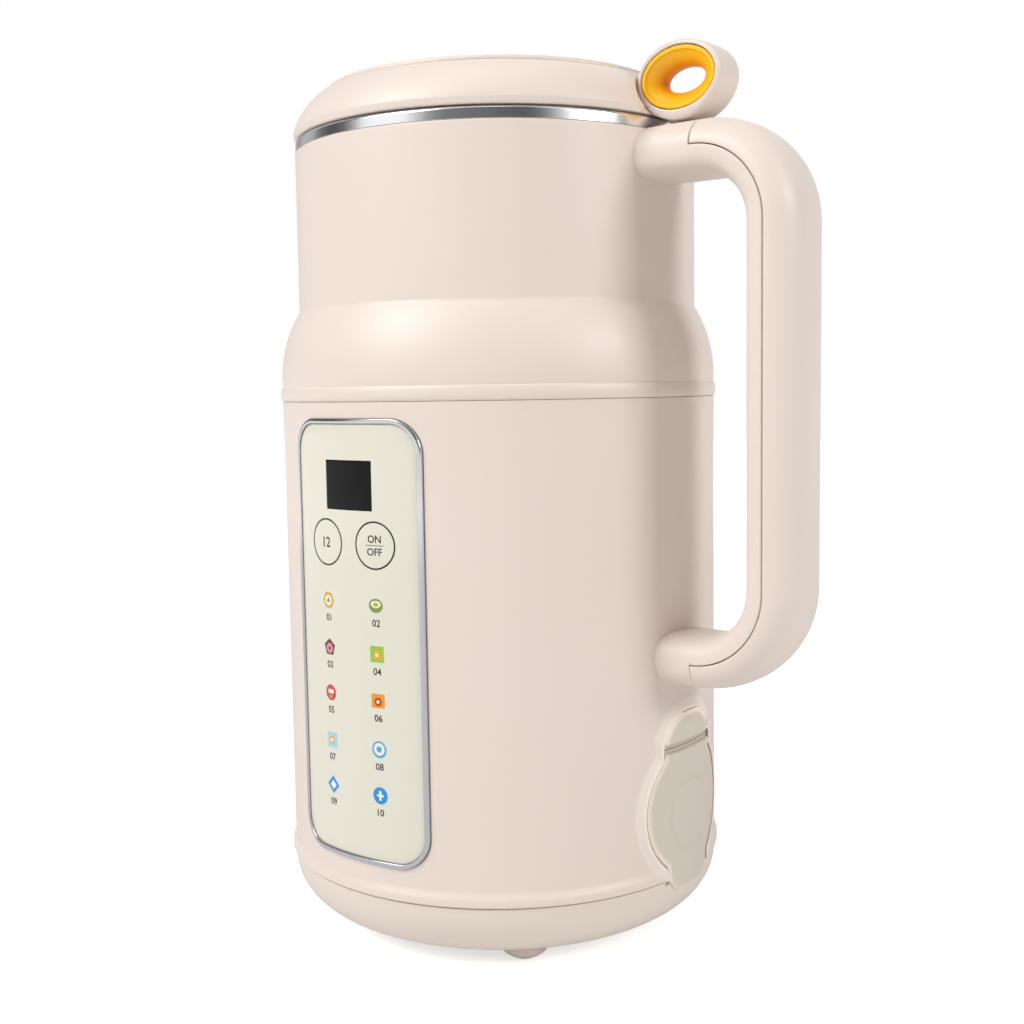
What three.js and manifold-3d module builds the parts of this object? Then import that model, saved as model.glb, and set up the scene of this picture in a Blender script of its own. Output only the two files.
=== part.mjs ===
// A countertop soy milk maker, built the way it comes apart on a bench.
// Lengths are in millimetres and +Z is up. The control panel faces -Y and the handle points to +X.
// Heights are measured from the surface that the machine stands on.

import * as THREE from 'three';
import { mergeVertices } from 'three/addons/utils/BufferGeometryUtils.js';
import Module from 'manifold-3d';

const wasm = await Module();
wasm.setup();

// Clearances
const seatGap = 0.3;
const runningGap = 0.5;
const overrun = 3;
const mergeDistance = 0.0001;

// Base cover
const undersideHeight = 2.2;
const seamHeight = 19;
const baseRimStep = 0.1;
const baseCurveWidth = 22.9;
const baseWall = 2.4;
const spigotHeight = 4;
const spigotWall = 1.8;
const ventSpacing = 4.5;
const ventHalfLength = 10;
const ventHalfWidth = 1;
const ventCount = 5;
const basePower = 2.3;

// Lower housing, whose radius sets all other radii
const housingRadius = 60.1;
const housingWall = 2.6;
const skirtFlare = 0.8;
const skirtHeight = 4;
const ledgeHeight = 3.4;
const ledgeWidth = 2.4;
const webHalfThickness = 1.2;

// Control panel, whose height sets the housing's
const panelHalfWidth = 21.8;
const panelRise = 8.5;
const panelHeight = 112.5;
const panelMargin = 4.2;
const panelCorner = 8.5;
const panelProud = 0.25;
const panelThickness = 1.2;
const trimWidth = 1.2;
const trimRise = 0.5;
const displayWidth = 15.9;
const displayHeight = 12.5;
const displayDrop = 16.5;
const keyDrop = 14.7;
const keyOffset = 8.4;
const keyRadius = 6.05;
const displayBoardHalfWidth = 17;
const displayBoardRise = 14;

// Neck sleeve
const beadProud = 0.5;
const beadHeight = 3.8;
const shoulderRise = 2.2;
const shoulderHeight = 18.4;
const shoulderWidth = 5.2;
const neckHeight = 41.4;
const neckWall = 2.2;
const neckSpigotDepth = 6;

// Steel cup
const cupWall = 1;
const cupCorner = 14;
const lipInset = 0.1;
const lipWidth = 4.4;
const lipHeight = 4;
const lipThickness = 0.8;

// Lid
const lidGap = 0.5;
const lidBellyWidth = 0.4;
const lidBellyRise = 1.6;
const lidDomeHeight = 10.4;
const lidRollWidth = 8.2;
const lidWall = 2;
const crownInset = 0.7;
const crownHeight = 1;
const plugClearance = 3;
const plugDepth = 9;
const linerWall = 1.8;
const linerFlangeInset = 0.8;
const sealHeight = 4;
const lidPostInset = 18.6;
const lidPostRadius = 4;
const lidPower = 1.4;

// Loop on the lid and its insert
const loopStandOff = 7.1;
const loopRise = 8.7;
const loopTilt = 2.7;
const loopDepth = 10.4;
const loopWall = 1.3;
const loopSeat = 0.55;
const insertHalfWidth = 10.6;
const insertHalfHeight = 7.7;
const waistHalfWidth = 5.8;
const waistHalfHeight = 3;
const loopEdge = 1.2;
const stemWidth = 8;
const stemHeight = 5;
const stemDepth = 8;
const tongueLength = 8;
const magnetRadius = 2.4;
const magnetHeight = 1.8;
const reedRadius = 1.4;
const reedLength = 8;

// Power inlet and its silicone cover
const inletRise = 18.3;
const inletOffset = 2.4;
const inletRadius = 17.6;
const inletHeadHeight = 25.5;
const inletNeckHalfWidth = 11.3;
const inletTongueHalfWidth = 9.9;
const inletTongueDrop = 3.6;
const inletLipWidth = 2.6;
const inletLipRise = 0.9;
const coverProud = 1.1;
const coverThickness = 3.4;
const foldRise = 16.65;
const foldGroove = 2.1;
const foldWeb = 0.7;
const foldDepth = 0.45;
const socketWidth = 24;
const socketHeight = 16;
const socketDepth = 17;
const socketWall = 2.5;
const socketDrop = 1.8;
const flangeThickness = 2.2;
const pinSpacing = 7;
const pinWidth = 2;
const pinHeight = 4;
const pinLength = 14;
const pinTail = 6;

// Handle
const gripGap = 28.7;
const gripWidth = 23;
const gripOuterDepth = 7.4;
const gripInnerDepth = 6.4;
const gripOuterPower = 2.35;
const gripInnerPower = 3;
const gripWall = 2.2;
const gripCorner = 19.2;
const upperArmDrop = 5.5;
const armAboveInlet = 5;
const screwAbovePlate = 0.5;
const partingGap = 14.3;
const partingOffset = 0.2;
const blockDepth = 8.6;
const handleScrewRadius = 1.9;
const handleScrewLength = 9;
const handleScrewHead = 1.5;

// Feet, posts and screws
const footRadius = 6.2;
const footInset = 6;
const footStemRadius = 2.4;
const postInset = 18.1;
const postRadius = 5;
const postHoleRadius = 2.1;
const screwRadius = 1.8;
const screwHeadRadius = 3.3;
const screwHeadHeight = 2;
const counterbore = 8;

// Motor and drive
const shaftRadius = 4;
const shaftTail = 1.6;
const motorClearance = 6.6;
const statorWidth = 8.2;
const rotorHeight = 19.5;
const statorOverlap = 0.8;
const commutatorRadius = 10;
const commutatorHeight = 6.5;
const commutatorRise = 4.4;
const commutatorGap = 2.5;
const bearingRadius = 9.5;
const bearingHeight = 4;
const bracketThickness = 3.4;
const motorAboveBoard = 4;
const fanSpace = 11.5;
const fanInset = 3;
const fanHeight = 5;
const motorPlateThickness = 3;
const coolingHoleRadius = 5;
const brushHalfWidth = 3;
const brushHeight = 4;
const holderClearance = 2;

// Blade and shaft seal
const bladeRise = 7;
const bladeThickness = 1.6;
const bladeSpan = 24;
const bladeWingWidth = 8;
const spacerRadius = 7.5;
const nutHeight = 7;
const nutRadius = 6.5;
const nutCap = 2;
const sealWall = 5;
const sealFlange = 2;

// Heating
const heatingSpace = 18;
const heaterPlateInset = 8.4;
const heaterPlateThickness = 3;
const heaterTubeRadius = 3.2;
const heaterTubeInset = 9;
const thermostatRadius = 6;
const thermostatHeight = 5;
const fuseRadius = 2;
const fuseLength = 11;
const probeRadius = 2.2;
const probeHeight = 6;

// Power board
const boardSideInset = 26.1;
const boardEndInset = 36.1;
const boardHeight = 9;
const boardThickness = 1.6;
const boardPostInset = 4;
const boardPostRadius = 2.5;
const relayWidth = 15;
const relayHeight = 12;
const relayOffset = 15;
const capacitorRadius = 5;
const capacitorHeight = 12;

// Radii that follow the housing's
const baseRimRadius = housingRadius + baseRimStep;
const baseFlatRadius = baseRimRadius - baseCurveWidth;
const skirtRadius = housingRadius + skirtFlare;
const panelRadius = housingRadius + panelProud;
const coverRadius = housingRadius + coverProud;
const beadRadius = housingRadius + beadProud;
const neckRadius = housingRadius - shoulderWidth;
const lipRadius = neckRadius - lipInset;
const cupRadius = lipRadius - lipWidth;
const lidBellyRadius = lipRadius + lidBellyWidth;
const lidFlatRadius = lidBellyRadius - lidRollWidth;
const crownRadius = lidFlatRadius - crownInset;
const plugRadius = cupRadius - cupWall - plugClearance;
const linerFlangeRadius = lipRadius - lidWall - linerFlangeInset;
const lidPostOffset = plugRadius - lidPostInset;
const loopReach = neckRadius + loopStandOff;
const gripReach = housingRadius + gripGap;
const partingStart = neckRadius + partingGap;
const footOffset = baseFlatRadius - footInset;
const postOffset = housingRadius - postInset;
const statorRadius = postOffset - postRadius - bracketThickness - motorClearance;
const rotorRadius = statorRadius - statorWidth;
const fanRadius = statorRadius - fanInset;
const heaterPlateRadius = cupRadius - heaterPlateInset;
const heaterRingRadius = heaterPlateRadius - heaterTubeInset;
const boardWidth = 2 * (housingRadius - boardSideInset);
const boardDepth = 2 * (housingRadius - boardEndInset);

// Heights, from the base seam up
const panelBottom = seamHeight + panelRise;
const panelTop = panelBottom + panelHeight;
const displayMiddle = panelTop - displayDrop;
const keyMiddle = displayMiddle - keyDrop;
const beadBottom = panelTop + panelMargin;
const beadTop = beadBottom + beadHeight;
const shoulderStart = beadTop + shoulderRise;
const creaseHeight = shoulderStart + shoulderHeight;
const neckTop = creaseHeight + neckHeight;
const lipTop = neckTop + lipHeight;
const loopHeight = lipTop + loopRise;
const inletMiddle = seamHeight + inletRise;
const inletTop = inletMiddle + inletHeadHeight;
const inletTongueBottom = seamHeight - inletTongueDrop;
const foldHeight = inletMiddle + foldRise;
const socketMiddle = inletMiddle - socketDrop;
const upperArmHeight = neckTop - upperArmDrop;
const lowerBracketHeight = boardHeight + boardThickness + relayHeight + motorAboveBoard;
const shaftBottom = lowerBracketHeight - shaftTail;
const commutatorBottom = lowerBracketHeight + commutatorRise;
const commutatorTop = commutatorBottom + commutatorHeight;
const rotorBottom = commutatorTop + commutatorGap;
const rotorTop = rotorBottom + rotorHeight;
const motorPlateHeight = rotorTop + fanSpace;
const motorPlateTop = motorPlateHeight + motorPlateThickness;
const cupFloor = motorPlateTop + heatingSpace;
const displayBoardBottom = motorPlateTop + displayBoardRise;
const bladeHeight = cupFloor + bladeRise;

// The handle's lower arm clears the inlet's lip, and its screw clears the motor plate.
const armOverInlet = inletTop + inletLipWidth + armAboveInlet + gripOuterDepth;
const armOverPlate = motorPlateTop + screwAbovePlate + screwHeadRadius;
const lowerArmHeight = Math.max(armOverInlet, armOverPlate);

// How finely round pieces are faceted
const bodySides = 40;
const innerSides = 20;
const smallSides = 10;
const quarter = Math.PI / 2;

// The machine's vertical axis lies off the middle of its whole width, because of the handle.
const handleReach = gripReach + gripOuterDepth;
const axisOffset = (skirtRadius - handleReach) / 2;

// Solids

// Merges shared corners, drops empty triangles and turns every face outwards.
function tidy(geometry) {
  const bare = geometry.clone();
  bare.deleteAttribute('normal');
  bare.deleteAttribute('uv');
  const merged = mergeVertices(bare, mergeDistance);
  const position = merged.getAttribute('position');
  const faces = [];
  const a = new THREE.Vector3();
  const b = new THREE.Vector3();
  const c = new THREE.Vector3();
  let volume = 0;
  for (let i = 0; i < merged.index.count; i += 3) {
    const [ia, ib, ic] = [0, 1, 2].map((k) => merged.index.getX(i + k));
    if (ia === ib || ib === ic || ic === ia) continue;
    faces.push(ia, ib, ic);
    a.fromBufferAttribute(position, ia);
    b.fromBufferAttribute(position, ib);
    c.fromBufferAttribute(position, ic);
    volume += a.dot(b.cross(c));
  }
  if (volume < 0) faces.reverse();
  merged.setIndex(faces);
  return merged;
}

function solid(geometry) {
  const closed = tidy(geometry);
  return new wasm.Manifold(new wasm.Mesh({
    numProp: 3,
    vertProperties: new Float32Array(closed.getAttribute('position').array),
    triVerts: new Uint32Array(closed.index.array),
  }));
}

function geometryOf(shape) {
  const mesh = shape.getMesh();
  const geometry = new THREE.BufferGeometry();
  geometry.setAttribute('position', new THREE.BufferAttribute(mesh.vertProperties, mesh.numProp));
  geometry.setIndex(new THREE.BufferAttribute(mesh.triVerts, 1));
  geometry.computeVertexNormals();
  return geometry;
}

const join = (first, ...others) => others.reduce((whole, other) => whole.add(other), first);
const cut = (first, ...tools) => tools.reduce((whole, tool) => whole.subtract(tool), first);

// A solid of revolution about the vertical axis, from an outline of [radius, height] points.
function turned(outline, sides = bodySides) {
  const points = outline.map(([radius, height]) => new THREE.Vector2(radius, height));
  return solid(new THREE.LatheGeometry(points, sides).rotateX(quarter));
}

function disc(radius, bottom, top, sides = innerSides) {
  return turned([[0, bottom], [radius, bottom], [radius, top], [0, top]], sides);
}

function ring(inner, outer, bottom, top, sides = innerSides) {
  const outline = [[inner, bottom], [outer, bottom], [outer, top], [inner, top], [inner, bottom]];
  return turned(outline, sides);
}

// A quarter of a rounded profile: upright at the first radius and level at the second.
function roundOver(startRadius, startHeight, endRadius, endHeight, power, steps) {
  const points = [];
  for (let i = 0; i <= steps; i += 1) {
    const turn = (quarter * i) / steps;
    const across = Math.cos(turn) ** (2 / power);
    const along = Math.sin(turn) ** (2 / power);
    points.push([
      endRadius + (startRadius - endRadius) * across,
      startHeight + (endHeight - startHeight) * along,
    ]);
  }
  return points;
}

// Points along a circular arc in a flat outline.
function arc(x, y, radius, from, to, steps) {
  const points = [];
  for (let i = 0; i <= steps; i += 1) {
    const angle = from + ((to - from) * i) / steps;
    points.push([x + radius * Math.cos(angle), y + radius * Math.sin(angle)]);
  }
  return points;
}

function outline(points) {
  return new THREE.Shape(points.map(([x, y]) => new THREE.Vector2(x, y)));
}

function roundedRectangle(left, right, bottom, top, radius, steps = 6) {
  return outline([
    ...arc(right - radius, bottom + radius, radius, -quarter, 0, steps),
    ...arc(right - radius, top - radius, radius, 0, quarter, steps),
    ...arc(left + radius, top - radius, radius, quarter, 2 * quarter, steps),
    ...arc(left + radius, bottom + radius, radius, 2 * quarter, 3 * quarter, steps),
  ]);
}

function ellipse(halfWidth, halfHeight, sides = innerSides) {
  const points = [];
  for (let i = 0; i < sides; i += 1) {
    const angle = (4 * quarter * i) / sides;
    points.push([halfWidth * Math.cos(angle), halfHeight * Math.sin(angle)]);
  }
  return outline(points);
}

// A flat outline in X and Y pushed up from one height to another.
function prismZ(shape, bottom, top) {
  const geometry = new THREE.ExtrudeGeometry(shape, { depth: top - bottom, bevelEnabled: false });
  return solid(geometry.translate(0, 0, bottom));
}

// A flat outline in X and Z pushed through in Y.
function prismY(shape, front, back) {
  const geometry = new THREE.ExtrudeGeometry(shape, { depth: back - front, bevelEnabled: false });
  return solid(geometry.rotateX(quarter).translate(0, back, 0));
}

// A flat outline in Y and Z pushed outwards in X.
function prismX(shape, from, to) {
  const geometry = new THREE.ExtrudeGeometry(shape, { depth: to - from, bevelEnabled: false });
  return solid(geometry.rotateX(quarter).rotateZ(quarter).translate(from, 0, 0));
}

function block(left, right, front, back, bottom, top) {
  const geometry = new THREE.BoxGeometry(right - left, back - front, top - bottom);
  return solid(geometry.translate((left + right) / 2, (front + back) / 2, (bottom + top) / 2));
}

function rodZ(radius, x, y, bottom, top, sides = smallSides) {
  const geometry = new THREE.CylinderGeometry(radius, radius, top - bottom, sides);
  return solid(geometry.rotateX(quarter).translate(x, y, (bottom + top) / 2));
}

function rodX(radius, from, to, y, z, sides = smallSides) {
  const geometry = new THREE.CylinderGeometry(radius, radius, to - from, sides);
  return solid(geometry.rotateZ(quarter).translate((from + to) / 2, y, z));
}

// Three places round the axis, one of them straight behind the handle's opposite side.
const thirdTurns = [1, 3, 5].map((step) => (step * 2 * quarter) / 3);
const around = (radius, angle) => [radius * Math.cos(angle), radius * Math.sin(angle)];

// Finishes

function finish(color, roughness, metalness = 0) {
  return new THREE.MeshStandardMaterial({ color, roughness, metalness });
}

const creamPlastic = finish(0xeaddd2, 0.45);
const baseCream = finish(0xdccfc4, 0.5);
const paleFace = finish(0xe8e4d6, 0.3);
const siliconeCream = finish(0xd2c9bd, 0.65);
const goldenInsert = finish(0xffb814, 0.4);
const chrome = finish(0xd8d8da, 0.12, 1);
const steel = finish(0xc9cacc, 0.25, 1);
const blackGlass = finish(0x0c0c0e, 0.1);
const rubber = finish(0x3a3836, 0.8);
const whiteRubber = finish(0xe6e3dc, 0.7);
const circuitBoard = finish(0x1f6b3c, 0.6);
const darkPlastic = finish(0x2b2b2d, 0.5);
const copper = finish(0xb8733a, 0.35, 1);
const castAluminium = finish(0xb4b6b9, 0.5, 1);
const magnetSteel = finish(0x9a9ca0, 0.4, 1);
const brass = finish(0xc9a24b, 0.35, 1);
const bluePlastic = finish(0x2f5fa8, 0.5);
const carbon = finish(0x303236, 0.7);

// The whole machine and its moving groups

const machine = new THREE.Group();
machine.position.x = axisOffset;
const body = new THREE.Group();
const lid = new THREE.Group();
const drive = new THREE.Group();
machine.add(body, lid, drive);

function piece(group, name, shape, material) {
  const mesh = new THREE.Mesh(geometryOf(shape), material);
  mesh.name = name;
  group.add(mesh);
  return mesh;
}

// Outline of the inlet cover in Y and Z: a large round below, a narrower head above it
// and a tongue that runs down over the base seam. The whole outline grows by one value.
function inletOutline(grow) {
  const radius = inletRadius + grow;
  const neck = inletNeckHalfWidth + grow;
  const tongue = inletTongueHalfWidth + grow;
  const headMiddle = inletTop + grow - neck;
  const neckTurn = Math.acos(neck / radius);
  const tongueTurn = Math.acos(tongue / radius);
  const tongueCorner = tongue / 2;
  const tongueBottom = inletTongueBottom - grow;
  return outline([
    ...arc(tongue - tongueCorner, tongueBottom + tongueCorner, tongueCorner, -quarter, 0, 4),
    ...arc(0, inletMiddle, radius, -tongueTurn, neckTurn, 12),
    ...arc(0, headMiddle, neck, 0, 2 * quarter, 12),
    ...arc(0, inletMiddle, radius, 2 * quarter - neckTurn, 2 * quarter + tongueTurn, 12),
    ...arc(tongueCorner - tongue, tongueBottom + tongueCorner, tongueCorner, 2 * quarter, 3 * quarter, 4),
  ]);
}

function inletPrism(grow) {
  const prism = prismX(inletOutline(grow), cupRadius, coverRadius + overrun);
  return prism.translate([0, inletOffset, 0]);
}

const inletEnd = inletTop + inletLipWidth + overrun;

// Base cover: a rounded dish with an inner spigot, screw posts, board posts and vents.

const housingInner = housingRadius - housingWall;
const baseTop = seamHeight - seatGap / 2;
const housingBottom = seamHeight + seatGap / 2;
const baseFloor = undersideHeight + baseWall;
const postFoot = undersideHeight + baseWall / 2;
const spigotRadius = housingInner - seatGap;
const postTop = housingBottom;
const postRootTop = postTop + 3 * postRadius;
const screwTip = postTop + 2 * postRadius;

// The rounded outer side of the base, or a copy of it let down by a gap
const baseCurve = (drop) => roundOver(
  baseRimRadius, baseTop, baseFlatRadius, undersideHeight - drop, basePower, 5,
).reverse();

function baseCover() {
  const inner = roundOver(
    spigotRadius - spigotWall, baseTop, baseFlatRadius - baseWall, baseFloor, basePower, 3,
  );
  const dish = turned([
    [0, undersideHeight],
    ...baseCurve(0),
    [spigotRadius, baseTop],
    [spigotRadius, baseTop + spigotHeight],
    [spigotRadius - spigotWall, baseTop + spigotHeight],
    ...inner,
    [0, baseFloor],
  ]);
  const added = [];
  const removed = [];
  for (const angle of thirdTurns) {
    const [x, y] = around(postOffset, angle);
    added.push(rodZ(postRadius, x, y, postFoot, postTop));
    removed.push(rodZ(postHoleRadius, x, y, -overrun, postTop + overrun));
    removed.push(rodZ(screwHeadRadius + seatGap, x, y, -overrun, counterbore));
  }
  for (const sideX of [-1, 1]) {
    for (const sideY of [-1, 1]) {
      const postX = sideX * (boardWidth / 2 - boardPostInset);
      const postY = sideY * (boardDepth / 2 - boardPostInset);
      added.push(rodZ(boardPostRadius, postX, postY, postFoot, boardHeight - seatGap));
      const [footX, footY] = [sideX * footOffset, sideY * footOffset];
      removed.push(rodZ(footStemRadius + seatGap, footX, footY, -overrun, baseFloor + overrun));
    }
  }
  for (let i = 0; i < ventCount; i += 1) {
    const x = (i - (ventCount - 1) / 2) * ventSpacing;
    const slot = roundedRectangle(
      x - ventHalfWidth, x + ventHalfWidth, -ventHalfLength, ventHalfLength, ventHalfWidth, 2,
    );
    removed.push(prismZ(slot, -overrun, baseFloor + overrun));
  }
  const spigotTop = baseTop + spigotHeight;
  const flangeReach = inletRadius + inletLipWidth;
  const notch = Math.sqrt(flangeReach ** 2 - (inletMiddle - spigotTop) ** 2) + runningGap;
  removed.push(inletPrism(seatGap));
  removed.push(block(
    cupRadius, spigotRadius + seatGap, inletOffset - notch, inletOffset + notch,
    baseTop - spigotHeight, spigotTop + overrun,
  ));
  return cut(join(dish, ...added), ...removed);
}

piece(body, 'base_cover', baseCover(), baseCream);

// Feet: soft pads that follow the curve of the base, each with a stem pressed into it.

const baseFilled = turned([
  [0, undersideHeight - seatGap],
  ...baseCurve(seatGap),
  [0, baseTop],
]);

function foot(x, y) {
  const pad = cut(rodZ(footRadius, x, y, 0, baseTop), baseFilled);
  return join(pad, rodZ(footStemRadius, x, y, undersideHeight / 2, baseFloor));
}

const footPlaces = {
  foot_front_left: [-1, -1],
  foot_front_right: [1, -1],
  foot_rear_left: [-1, 1],
  foot_rear_right: [1, 1],
};
for (const [name, [sideX, sideY]] of Object.entries(footPlaces)) {
  piece(body, name, foot(sideX * footOffset, sideY * footOffset), rubber);
}

// Base screws: a pan head in the counterbore and a shank into the housing's post.

const baseScrew = join(
  disc(screwHeadRadius, counterbore - seatGap - screwHeadHeight, counterbore - seatGap, smallSides),
  disc(screwRadius, counterbore - screwHeadHeight, screwTip, smallSides),
);
thirdTurns.forEach((angle, index) => {
  const [x, y] = around(postOffset, angle);
  piece(body, `base_screw_${index + 1}`, baseScrew, steel).position.set(x, y, 0);
});

// Lower housing: the wide drum with a flared skirt, a pocket for the panel, the inlet's
// opening and lip, a ledge for the motor plate and posts for the base screws.

const pocketRadius = panelRadius - panelThickness - seatGap;
const housingTop = beadBottom - seatGap;
const ledgeTop = motorPlateHeight - seatGap;

function panelOutline(grow) {
  const halfWidth = panelHalfWidth + grow;
  return roundedRectangle(
    -halfWidth, halfWidth, panelBottom - grow, panelTop + grow, panelCorner + grow,
  );
}

function frontPrism(shape) {
  return prismY(shape, -panelRadius - overrun, -cupRadius);
}

function displayOutline(grow) {
  const halfWidth = displayWidth / 2 + grow;
  const halfHeight = displayHeight / 2 + grow;
  return roundedRectangle(
    -halfWidth, halfWidth, displayMiddle - halfHeight, displayMiddle + halfHeight, trimWidth, 2,
  );
}

function lowerHousing() {
  const drum = turned([
    [housingInner, housingBottom],
    [skirtRadius, housingBottom],
    [skirtRadius, housingBottom + skirtHeight / 4],
    [housingRadius, housingBottom + skirtHeight],
    [housingRadius, housingTop],
    [housingInner, housingTop],
    [housingInner, ledgeTop],
    [housingInner - ledgeWidth, ledgeTop],
    [housingInner, ledgeTop - ledgeHeight],
    [housingInner, housingBottom],
  ]);
  const added = [];
  const removed = [];
  for (const angle of thirdTurns) {
    const [x, y] = around(postOffset, angle);
    added.push(rodZ(postRadius, x, y, postTop + seatGap, postRootTop));
    const web = block(
      postOffset, housingInner + housingWall / 2, -webHalfThickness, webHalfThickness,
      baseTop + spigotHeight + runningGap, postRootTop,
    );
    added.push(web.rotate([0, 0, THREE.MathUtils.radToDeg(angle)]));
    removed.push(rodZ(postHoleRadius, x, y, postTop, screwTip + seatGap));
  }
  const lipRoot = housingInner + housingWall / 2;
  const lip = ring(lipRoot, housingRadius + inletLipRise, housingBottom, inletEnd, bodySides);
  added.push(lip.intersect(inletPrism(inletLipWidth)));
  removed.push(inletPrism(seatGap));
  removed.push(rodX(handleScrewRadius + seatGap, cupRadius, gripReach, 0, lowerArmHeight));
  const pocketBottom = panelBottom - panelCorner;
  const pocketTop = panelTop + panelCorner;
  const pocket = ring(pocketRadius, panelRadius + overrun, pocketBottom, pocketTop, bodySides);
  removed.push(pocket.intersect(frontPrism(panelOutline(seatGap))));
  removed.push(frontPrism(displayOutline(-trimWidth)));
  return cut(join(drum, ...added), ...removed);
}

piece(body, 'lower_housing', lowerHousing(), creamPlastic);

// Neck sleeve: a spigot inside the housing, a half-round bead, a rounded shoulder and the neck.

function shoulderPoints(inset, steps) {
  const drop = housingRadius - neckRadius;
  const rise = creaseHeight - shoulderStart;
  const radius = (rise * rise + drop * drop) / (2 * drop);
  const points = [];
  for (let i = 0; i <= steps; i += 1) {
    const height = (rise * i) / steps;
    const fall = radius - Math.sqrt(radius * radius - height * height);
    points.push([housingRadius - fall - inset, shoulderStart + height]);
  }
  return points;
}

const beadStart = beadRadius - housingRadius;
const neckSpigotInner = spigotRadius - neckWall;
const neckInner = neckRadius - neckWall;

const neckSleeve = turned([
  [neckSpigotInner, housingTop - neckSpigotDepth],
  [spigotRadius, housingTop - neckSpigotDepth],
  [spigotRadius, beadBottom],
  [housingRadius, beadBottom],
  [beadRadius, beadBottom + beadStart],
  [beadRadius, beadTop - beadStart],
  [housingRadius, beadTop],
  ...shoulderPoints(0, 5),
  [neckRadius, neckTop],
  [neckInner, neckTop],
  ...shoulderPoints(neckWall, 1).reverse(),
  [neckSpigotInner, housingTop - neckSpigotDepth],
]);

piece(
  body,
  'neck_sleeve',
  cut(neckSleeve, rodX(handleScrewRadius + seatGap, cupRadius, gripReach, 0, upperArmHeight)),
  creamPlastic,
);

// Steel cup: straight wall, rounded floor corner, a hole for the shaft seal and a rolled rim
// that turns out and down over the top of the neck.

const sealInnerRadius = shaftRadius + runningGap / 2;
const sealRadius = sealInnerRadius + sealWall;
const sealHoleRadius = sealRadius + seatGap;

const steelCup = turned([
  [sealHoleRadius, cupFloor],
  ...roundOver(cupRadius, cupFloor + cupCorner, cupRadius - cupCorner, cupFloor, 2, 4).reverse(),
  [cupRadius, neckTop + seatGap],
  [lipRadius - lipThickness, neckTop + seatGap],
  [lipRadius, neckTop + seatGap + lipThickness],
  [lipRadius, lipTop - lipThickness],
  [lipRadius - lipThickness, lipTop],
  [cupRadius - cupWall, lipTop],
  ...roundOver(
    cupRadius - cupWall, cupFloor + cupCorner, cupRadius - cupCorner, cupFloor + cupWall, 2, 3,
  ),
  [sealHoleRadius, cupFloor + cupWall],
  [sealHoleRadius, cupFloor],
]);

piece(body, 'steel_cup', steelCup, steel);

// Handle: a tube of superellipse section that leaves the neck level, turns down, and comes
// back level to the housing. It is split along its side into an inner and an outer half.

class HandlePath extends THREE.Curve {
  constructor(start) {
    super();
    this.start = start;
    this.arm = gripReach - gripCorner - start;
    this.bend = quarter * gripCorner;
    this.drop = upperArmHeight - lowerArmHeight - 2 * gripCorner;
    this.total = 2 * (this.arm + this.bend) + this.drop;
  }

  getPoint(t, target = new THREE.Vector3()) {
    const along = t * this.total;
    const mirrored = along > this.total / 2;
    const half = mirrored ? this.total - along : along;
    const middle = (upperArmHeight + lowerArmHeight) / 2;
    let x = this.start + half;
    let above = upperArmHeight - middle;
    if (half > this.arm + this.bend) {
      x = gripReach;
      above = this.drop / 2 - (half - this.arm - this.bend);
    } else if (half > this.arm) {
      const angle = (half - this.arm) / gripCorner;
      x = gripReach - gripCorner + gripCorner * Math.sin(angle);
      above = this.drop / 2 + gripCorner * Math.cos(angle);
    }
    return target.set(x, 0, middle + (mirrored ? -above : above));
  }
}

// The section is flatter on the side towards the body than on the outer side.
function gripSection(inset, sides) {
  const points = [];
  for (let i = 0; i < sides; i += 1) {
    const angle = (4 * quarter * i) / sides;
    const [across, along] = [Math.cos(angle), Math.sin(angle)];
    const inner = across > 0;
    const power = inner ? gripInnerPower : gripOuterPower;
    const depth = inner ? gripInnerDepth : gripOuterDepth;
    points.push([
      (depth - inset) * Math.sign(across) * Math.abs(across) ** (2 / power),
      (gripWidth / 2 - inset) * Math.sign(along) * Math.abs(along) ** (2 / power),
    ]);
  }
  return outline(points);
}

function gripTube(start, inset, sides, steps) {
  const options = { steps, extrudePath: new HandlePath(start), bevelEnabled: false };
  return solid(new THREE.ExtrudeGeometry(gripSection(inset, sides), options));
}

function outerHalf(shift) {
  const innerEdge = gripReach + partingOffset + shift;
  const upperEdge = upperArmHeight + partingOffset + shift;
  const lowerEdge = lowerArmHeight - partingOffset - shift;
  const corner = gripCorner + partingOffset + shift;
  const far = 2 * gripOuterDepth + overrun;
  const outside = block(
    partingStart + shift, gripReach + far, -gripWidth, gripWidth,
    lowerArmHeight - far, upperArmHeight + far,
  );
  const inside = roundedRectangle(0, innerEdge, lowerEdge, upperEdge, corner, 8);
  return cut(outside, prismY(inside, -gripWidth - overrun, gripWidth + overrun));
}

const bodyEnvelope = turned([
  [0, 0],
  [housingRadius + seatGap, 0],
  [housingRadius + seatGap, creaseHeight],
  [neckRadius + seatGap, creaseHeight],
  [neckRadius + seatGap, lipTop + gripOuterDepth],
  [0, lipTop + gripOuterDepth],
]);
const cavityStart = neckRadius + blockDepth;
const handleShell = cut(
  gripTube(cupRadius, 0, 18, 40),
  gripTube(cavityStart, gripWall, 12, 32),
  bodyEnvelope,
);

const upperScrewStart = neckInner - seatGap;
const lowerScrewStart = housingInner - seatGap;
const screwHole = (start, height) => rodX(
  handleScrewRadius + seatGap, cupRadius, start + handleScrewLength + seatGap, 0, height,
);
const screwHoles = join(
  screwHole(upperScrewStart, upperArmHeight),
  screwHole(lowerScrewStart, lowerArmHeight),
);

piece(body, 'handle_inner', cut(handleShell, outerHalf(-seatGap / 2), screwHoles), creamPlastic);
piece(body, 'handle_outer', handleShell.intersect(outerHalf(seatGap / 2)), creamPlastic);

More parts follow.
